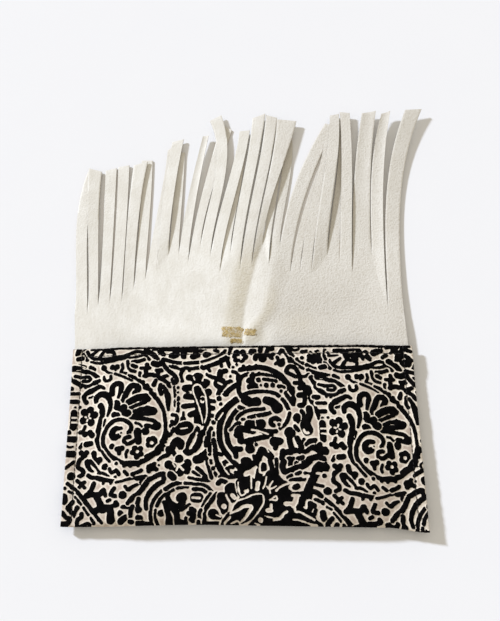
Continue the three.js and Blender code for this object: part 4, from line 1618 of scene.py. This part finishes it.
def worn_and_shaded(x, y):
    """Wear and painted shade: most on the crease's slope, less behind the ridge and in a patch to the
    right.
    """
    off, slope, ridge = crease_lines(x, y)
    on_slope = smooth(off, -1.3 * slope, -0.5 * slope) * (1 - smooth(off, -2.5, 1))
    behind = smooth(off, ridge - 4, ridge + 3) * (1 - smooth(off, ridge + 4, ridge + 13))
    behind *= 1 - smooth(y, 30, 70)
    patch = soft_spot(x, y, *WORN_SHADE_PATCH)
    spots = 0.8 * behind + 0.5 * patch + 0.7 * soft_spot(x + 3, y, *DIMPLE)
    return smooth(y, 1, 6) * np.minimum(1, on_slope * (1 - smooth(y, 60, 105)) + spots)


print("crease is", round(float(crease(-18, 50) - crease(3, 50)), 2), "mm deep halfway")

# %% [markdown]
# The next formulas are those of the CAD source too, with many more rows and columns, so that a strip bends
# smoothly. A strip also curls a little along its edges where nothing lies on it, as cut suede does. One
# that rests on its left neighbour leans down to the right, and the one on the crease leans up at its root.

# %% Flap heights and columns
FLAP_LEFT = -135
FLAP_LEFT_LIP = -132.5
FLAP_RIGHT_LIP = 128.5
HALF_POUCH = POUCH_WIDTH / 2
LAP = 10
LIP_CLEAR = 4
SETTLE_MIDDLE = 30
SETTLE_SIDE = 90
SETTLE_FROM = 0.5
LEFT_ROOT = 28
SLIT_GAP = 1
SLIT_TAPER = 0.15
ROOT_LEAN = 0.3
CURL_GROWS = (0.1, 0.7)
ROOT_TURN_GROWS = (0, 0.08)
ROOT_TURN_FADES = (0.12, 0.27)
BODY_ROWS = np.linspace(0, 1, 24)
STRIP_ROWS = np.append(np.linspace(0, 1, 45)[1:-1], [0.995, 1])
COLUMNS = np.array([-1, -0.98, -0.75, -0.5, -0.25, 0, 0.25, 0.5, 0.75, 0.98, 1])


def flap_under(x, y):
    inside = np.clip(x, -HALF_POUCH, HALF_POUCH)
    lap = back_under(inside + HALF_POUCH, np.clip(-y, 0, POUCH_HEIGHT)) + BACK_WALL + PLAY
    settle = lerp(SETTLE_MIDDLE, SETTLE_SIDE, smooth(np.abs(inside / HALF_POUCH), SETTLE_FROM, 1))
    return lap * (1 - smooth(y, LIP_CLEAR, settle)) + crease(x, y)


def body_column(x, root):
    share = (x - FLAP_LEFT) / FLAP_WIDTH
    lip_x = lerp(FLAP_LEFT_LIP, FLAP_RIGHT_LIP, share)
    lip = LIP_SLOPE * lip_x
    in_mouth = np.array([lip - LAP, lip - LAP / 2, lip - PLAY, lip + LIP_CLEAR / 2])
    xs = np.concatenate([np.full(len(in_mouth), lip_x), lerp(lip_x, x, BODY_ROWS)])
    ys = np.concatenate([in_mouth, lerp(lip + LIP_CLEAR, root, BODY_ROWS)])
    return np.column_stack([xs, ys, flap_under(xs, ys)])


def bezier(a, b, c, d, t):
    return (1 - t) ** 3 * a + 3 * (1 - t) ** 2 * t * b + 3 * (1 - t) * t**2 * c + t**3 * d


def strip_column(strip, centre, left_root, across, curl, roll):
    width, root, reach, lean_mid, lean_tip, tip, slant, rise, mid, end = strip
    t = STRIP_ROWS
    start = ROOT_LEAN * lean_mid
    handle = (8 * lean_mid - lean_tip) / 3 - start
    wide = lerp(width - SLIT_GAP * smooth(t, 0, SLIT_TAPER), tip, t**2)
    root_y = lerp(left_root, root, (across + 1) / 2)
    x = centre + bezier(0, start, handle, lean_tip, t) + across * wide / 2
    y = lerp(root_y, reach - across * slant / 2, t)
    z = bezier(flap_under(centre + across * width / 2, root_y), rise, mid, end, t)
    turned = curl * across**2 - max(roll, 0) * across
    at_root = smooth(t, *ROOT_TURN_GROWS) * (1 - smooth(t, *ROOT_TURN_FADES))
    z += turned * smooth(t, *CURL_GROWS) + max(-roll, 0) * across * at_root
    return np.column_stack([x, y, np.maximum(z, 0)])


columns_seen = body_column(FLAP_LEFT, LEFT_ROOT)
print("flap's left edge is", round(float(columns_seen[:, 2].max()), 2), "mm high at most")

# %% [markdown]
# Below the slits neighbours share the points of the slit's line, and above it each strip has its own. The
# same net underneath, and walls along every free edge, make the skin a closed sheet. Smooth shading would
# round its edges like a cushion's. A blade cuts suede square, so edges steeper than 40 degrees are sharp,
# and the skin only thins a hair there.

# %% Fringed flap
CURLED = {9: 0.4, 25: 0.5, 26: 0.5}
ROLLED = {1: 0.35, 17: -0.8, 27: 0.5}
EDGE_ROUND = 0.08
ROUND_START = 0.06
SHARP_ANGLE = math.radians(40)


def closed_sheet(under, quads, thick):
    """A sheet from its underside's points and its thickness there, with walls along its free edges."""
    quads = np.array(quads)
    count = len(under)
    sides = np.vstack([quads[:, [k, (k + 1) % 4]] for k in range(4)])
    known = {tuple(side) for side in sides.tolist()}
    free = [side for side in sides.tolist() if (side[1], side[0]) not in known]
    walls = [(a + count, a, b, b + count) for a, b in free]
    faces = (quads + count).tolist() + quads[:, ::-1].tolist() + walls
    return np.vstack([under, under + thick[:, None] * (0, 0, 1)]), faces


def cut_thickness(across):
    """The skin's thickness along one column of a strip: it thins a hair at the cut edges."""
    at_edge = np.maximum(abs(across) == 1, STRIP_ROWS == 1)
    return SUEDE_WALL - EDGE_ROUND * at_edge * smooth(STRIP_ROWS, 0, ROUND_START)


def flap_net():
    points = []
    quads = []
    thick = []
    count = 0
    left = FLAP_LEFT
    left_root = LEFT_ROOT
    slit_column = None
    for number, strip in enumerate(strips):
        width, root = strip[:2]
        centre = left + width / 2
        edges = CURLED.get(number, 0), ROLLED.get(number, 0)
        numbered = []
        for across in COLUMNS:
            body = body_column(centre + across * width / 2, lerp(left_root, root, (across + 1) / 2))
            free = strip_column(strip, centre, left_root, across, *edges)
            if across == -1 and slit_column is not None:
                body_numbers = slit_column
            else:
                body_numbers = np.arange(count, count + len(body))
                points.append(body)
                thick.append(np.full(len(body), SUEDE_WALL))
                count += len(body)
            points.append(free)
            thick.append(cut_thickness(across))
            numbered.append(np.concatenate([body_numbers, np.arange(count, count + len(free))]))
            count += len(free)
        for here, there in zip(numbered, numbered[1:]):
            quads.append(np.column_stack([here[:-1], there[:-1], there[1:], here[1:]]))
        slit_column = numbered[-1][: len(body)]
        left += width
        left_root = root
    return np.vstack(points), np.vstack(quads), np.concatenate(thick)


net = flap_net()
skin, skin_faces = closed_sheet(*net)
is_cut = np.arange(len(skin_faces)) >= 2 * len(net[1])
fringed_suede = add_piece("fringed_suede", skin, skin_faces, SUEDE, is_cut)
fringed_suede.data.set_sharp_from_angle(angle=SHARP_ANGLE)
carry(fringed_suede, "worn_and_shaded", worn_and_shaded(*skin[:, :2].T))
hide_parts("fringed_flap")

# %% [markdown]
# ## Stitches
# The sides and the hem are sewn with a dark thread. Each stitch is a short round thread that comes up, lies
# over the cloth and dives in again, and the groove it pulls was made above. A texture of dashes could stand
# for them, but real stitches catch the light and cast small shadows.

# %% Thread
STITCH_PITCH = 3.1
STITCH_LENGTH = 2.8
THREAD_RADIUS = 0.3
THREAD_SIDES = 6
THREAD_RINGS = 5
THREAD_END = 0.6
FIRST_STITCH = 0.4
STITCH_SUNK = 0.15
STITCH_ARCH = 0.3
SEAM_STOPS = POUCH_HEIGHT - 2
THREAD_DARK = rgb(16, 14, 16)
THREAD_PALE = rgb(44, 40, 40)


def dark_thread():
    material, shader, place = start_finish("dark_thread", Roughness=0.7, Specular_IOR_Level=0.3)
    join(speckle(place, 0.5).mixed(THREAD_DARK, THREAD_PALE), shader, "Base Color")
    join(relief(speckle(place, 0.25), 0.08), shader, "Normal")
    return material


def stitch_row(across_from, down_from, across_to, down_to):
    """Stitches along a straight line of the front cloth, as points and faces."""
    start = np.array([across_from, down_from], float)
    way = np.array([across_to, down_to], float) - start
    length = np.hypot(*way)
    way /= length
    points = []
    faces = []
    for first in np.arange(FIRST_STITCH, length - STITCH_LENGTH, STITCH_PITCH):
        for ring in range(THREAD_RINGS):
            share = ring / (THREAD_RINGS - 1)
            spot = start + way * (first + share * STITCH_LENGTH)
            arch = math.sin(math.pi * share)
            height = front_top(*spot) + PILE - GROOVE_DEPTH - STITCH_SUNK + STITCH_ARCH * arch
            radius = THREAD_RADIUS * lerp(THREAD_END, 1, arch)
            for side in range(THREAD_SIDES):
                angle = math.tau * side / THREAD_SIDES
                aside = np.array([-way[1], way[0]]) * radius * math.cos(angle)
                x, y = pouch_plan(*(spot + aside))
                points.append((x, y, height + radius * math.sin(angle)))
        base = len(points) - THREAD_RINGS * THREAD_SIDES
        for ring in range(THREAD_RINGS - 1):
            for side in range(THREAD_SIDES):
                low = base + ring * THREAD_SIDES
                next_side = (side + 1) % THREAD_SIDES
                ring_ahead = low + THREAD_SIDES
                faces.append([low + side, low + next_side, ring_ahead + next_side, ring_ahead + side])
        faces.append(list(range(base + THREAD_SIDES - 1, base - 1, -1)))
        faces.append(list(range(len(points) - THREAD_SIDES, len(points))))
    return points, faces


THREAD = dark_thread()
seams = {
    "left_stitches": (SIDE_SEAM, 0, SIDE_SEAM, SEAM_STOPS),
    "right_stitches": (POUCH_WIDTH - SIDE_SEAM, 0, POUCH_WIDTH - SIDE_SEAM, SEAM_STOPS),
    "hem_stitches": (SIDE_SEAM, HEM_SEAM, POUCH_WIDTH - SIDE_SEAM, HEM_SEAM),
}
for seam_name, line in seams.items():
    add_piece(seam_name, *stitch_row(*line), [THREAD])

# %% [markdown]
# ## The foil mark
# Above the mouth the suede carries a worn stamp in gold foil: two plain bars over a shorter one. Each is a
# thin plate that follows the skin, with a ragged edge where the foil has crept and cracked. It could be
# painted into the suede's finish, but a plate has an edge of its own that catches the light. Its finish
# fades out where the foil has rubbed off.

# %% Gold foil
FOIL_MIDDLE = (-4, 10.5)
FOIL_LIFT = 0.05
# left, right, bottom and top of each bar
FOIL_BARS = [(-13.5, 3.4, -1.2, 7.6), (4, 14, 0.3, 6), (-6.8, 3.6, -6, -2.4)]
FOIL_STEP = 0.8
FOIL_CREEP = 0.45
FOIL_SEED = 11
FOIL_DARK = rgb(160, 132, 66)
FOIL_PALE = rgb(214, 190, 126)


def worn_foil():
    material, shader, place = start_finish("worn_foil", Specular_IOR_Level=0.4)
    kept = (speckle(place, 0.5) * 0.6 + speckle(place, 4) * 0.4).between(0.4, 0.58)
    gold = speckle(place, 1.2).between(0.3, 0.7).mixed(FOIL_DARK, FOIL_PALE)
    join(gold, shader, "Base Color")
    join(kept * 0.2, shader, "Metallic")
    join(0.95 - kept * 0.35, shader, "Roughness")
    join(kept * 0.75 + 0.15, shader, "Alpha")
    join(relief(speckle(place, 0.4), 0.06), shader, "Normal")
    return material


def foil_bar(left, right, bottom, top, random):
    """A thin plate over the suede with a ragged edge, as the points of its underside and its quads."""
    across = np.linspace(left, right, round((right - left) / FOIL_STEP) + 1)
    up = np.linspace(bottom, top, round((top - bottom) / FOIL_STEP) + 1)
    xs, ys = np.meshgrid(across, up)
    at_edge = (xs == left) | (xs == right) | (ys == bottom) | (ys == top)
    creep = FOIL_CREEP * at_edge * random.standard_normal((2, *xs.shape))
    xs = (xs + creep[0] + FOIL_MIDDLE[0]).ravel()
    ys = (ys + creep[1] + FOIL_MIDDLE[1]).ravel()
    number = np.arange(len(xs)).reshape(at_edge.shape)
    corners = [number[:-1, :-1], number[:-1, 1:], number[1:, 1:], number[1:, :-1]]
    under = np.column_stack([xs, ys, flap_under(xs, ys) + SUEDE_WALL - FOIL_LIFT])
    return under, np.stack(corners, axis=-1).reshape(-1, 4)


def foil_mark():
    random = np.random.default_rng(FOIL_SEED)
    points = []
    faces = []
    for bar in FOIL_BARS:
        under, quads = foil_bar(*bar, random)
        bar_points, bar_faces = closed_sheet(under, quads, np.full(len(under), 2 * FOIL_LIFT))
        faces += [[k + len(points) for k in face] for face in bar_faces]
        points += bar_points.tolist()
    return points, faces


foil = add_piece("foil_mark", *foil_mark(), [worn_foil()])

# %% [markdown]
# ## Cloth sizes
# The panels are rectangles. The flap's cut is its body and its strips, and their areas are added up.

# %% Adding up the flap's area
roots = np.concatenate([[LEFT_ROOT], strips[:, 1]])
lengths = strips[:, 2] - (roots[1:] + roots[:-1]) / 2
strip_area = (lengths * (strips[:, 0] - SLIT_GAP + strips[:, 5]) / 2).sum()
body_area = (strips[:, 0] * (LAP + (roots[1:] + roots[:-1]) / 2)).sum()
flap_area = (strip_area + body_area) * MM**2

# %% [markdown]
# ## The floor
# A plain pale floor takes the shadows. A faint unevenness keeps it from looking like a drawing.

# %% Studio floor
FLOOR_HALF = 3.0
FLOOR_GREY = rgb(238, 239, 241)
FLOOR_PALE = rgb(240, 241, 242)


def pale_floor():
    material, shader, place = start_finish("pale_floor", Roughness=0.8, Specular_IOR_Level=0.2)
    join(speckle(place, 60).mixed(FLOOR_GREY, FLOOR_PALE), shader, "Base Color")
    return material


floor_mesh = bpy.data.meshes.new("studio_floor")
floor_corners = [(-1, -1), (1, -1), (1, 1), (-1, 1)]
floor_mesh.from_pydata([(x * FLOOR_HALF, y * FLOOR_HALF, 0) for x, y in floor_corners], [], [(0, 1, 2, 3)])
floor_mesh.materials.append(pale_floor())
studio_floor = bpy.data.objects.new("studio_floor", floor_mesh)
scene.collection.objects.link(studio_floor)
print("floor is", 2 * FLOOR_HALF, "m wide")
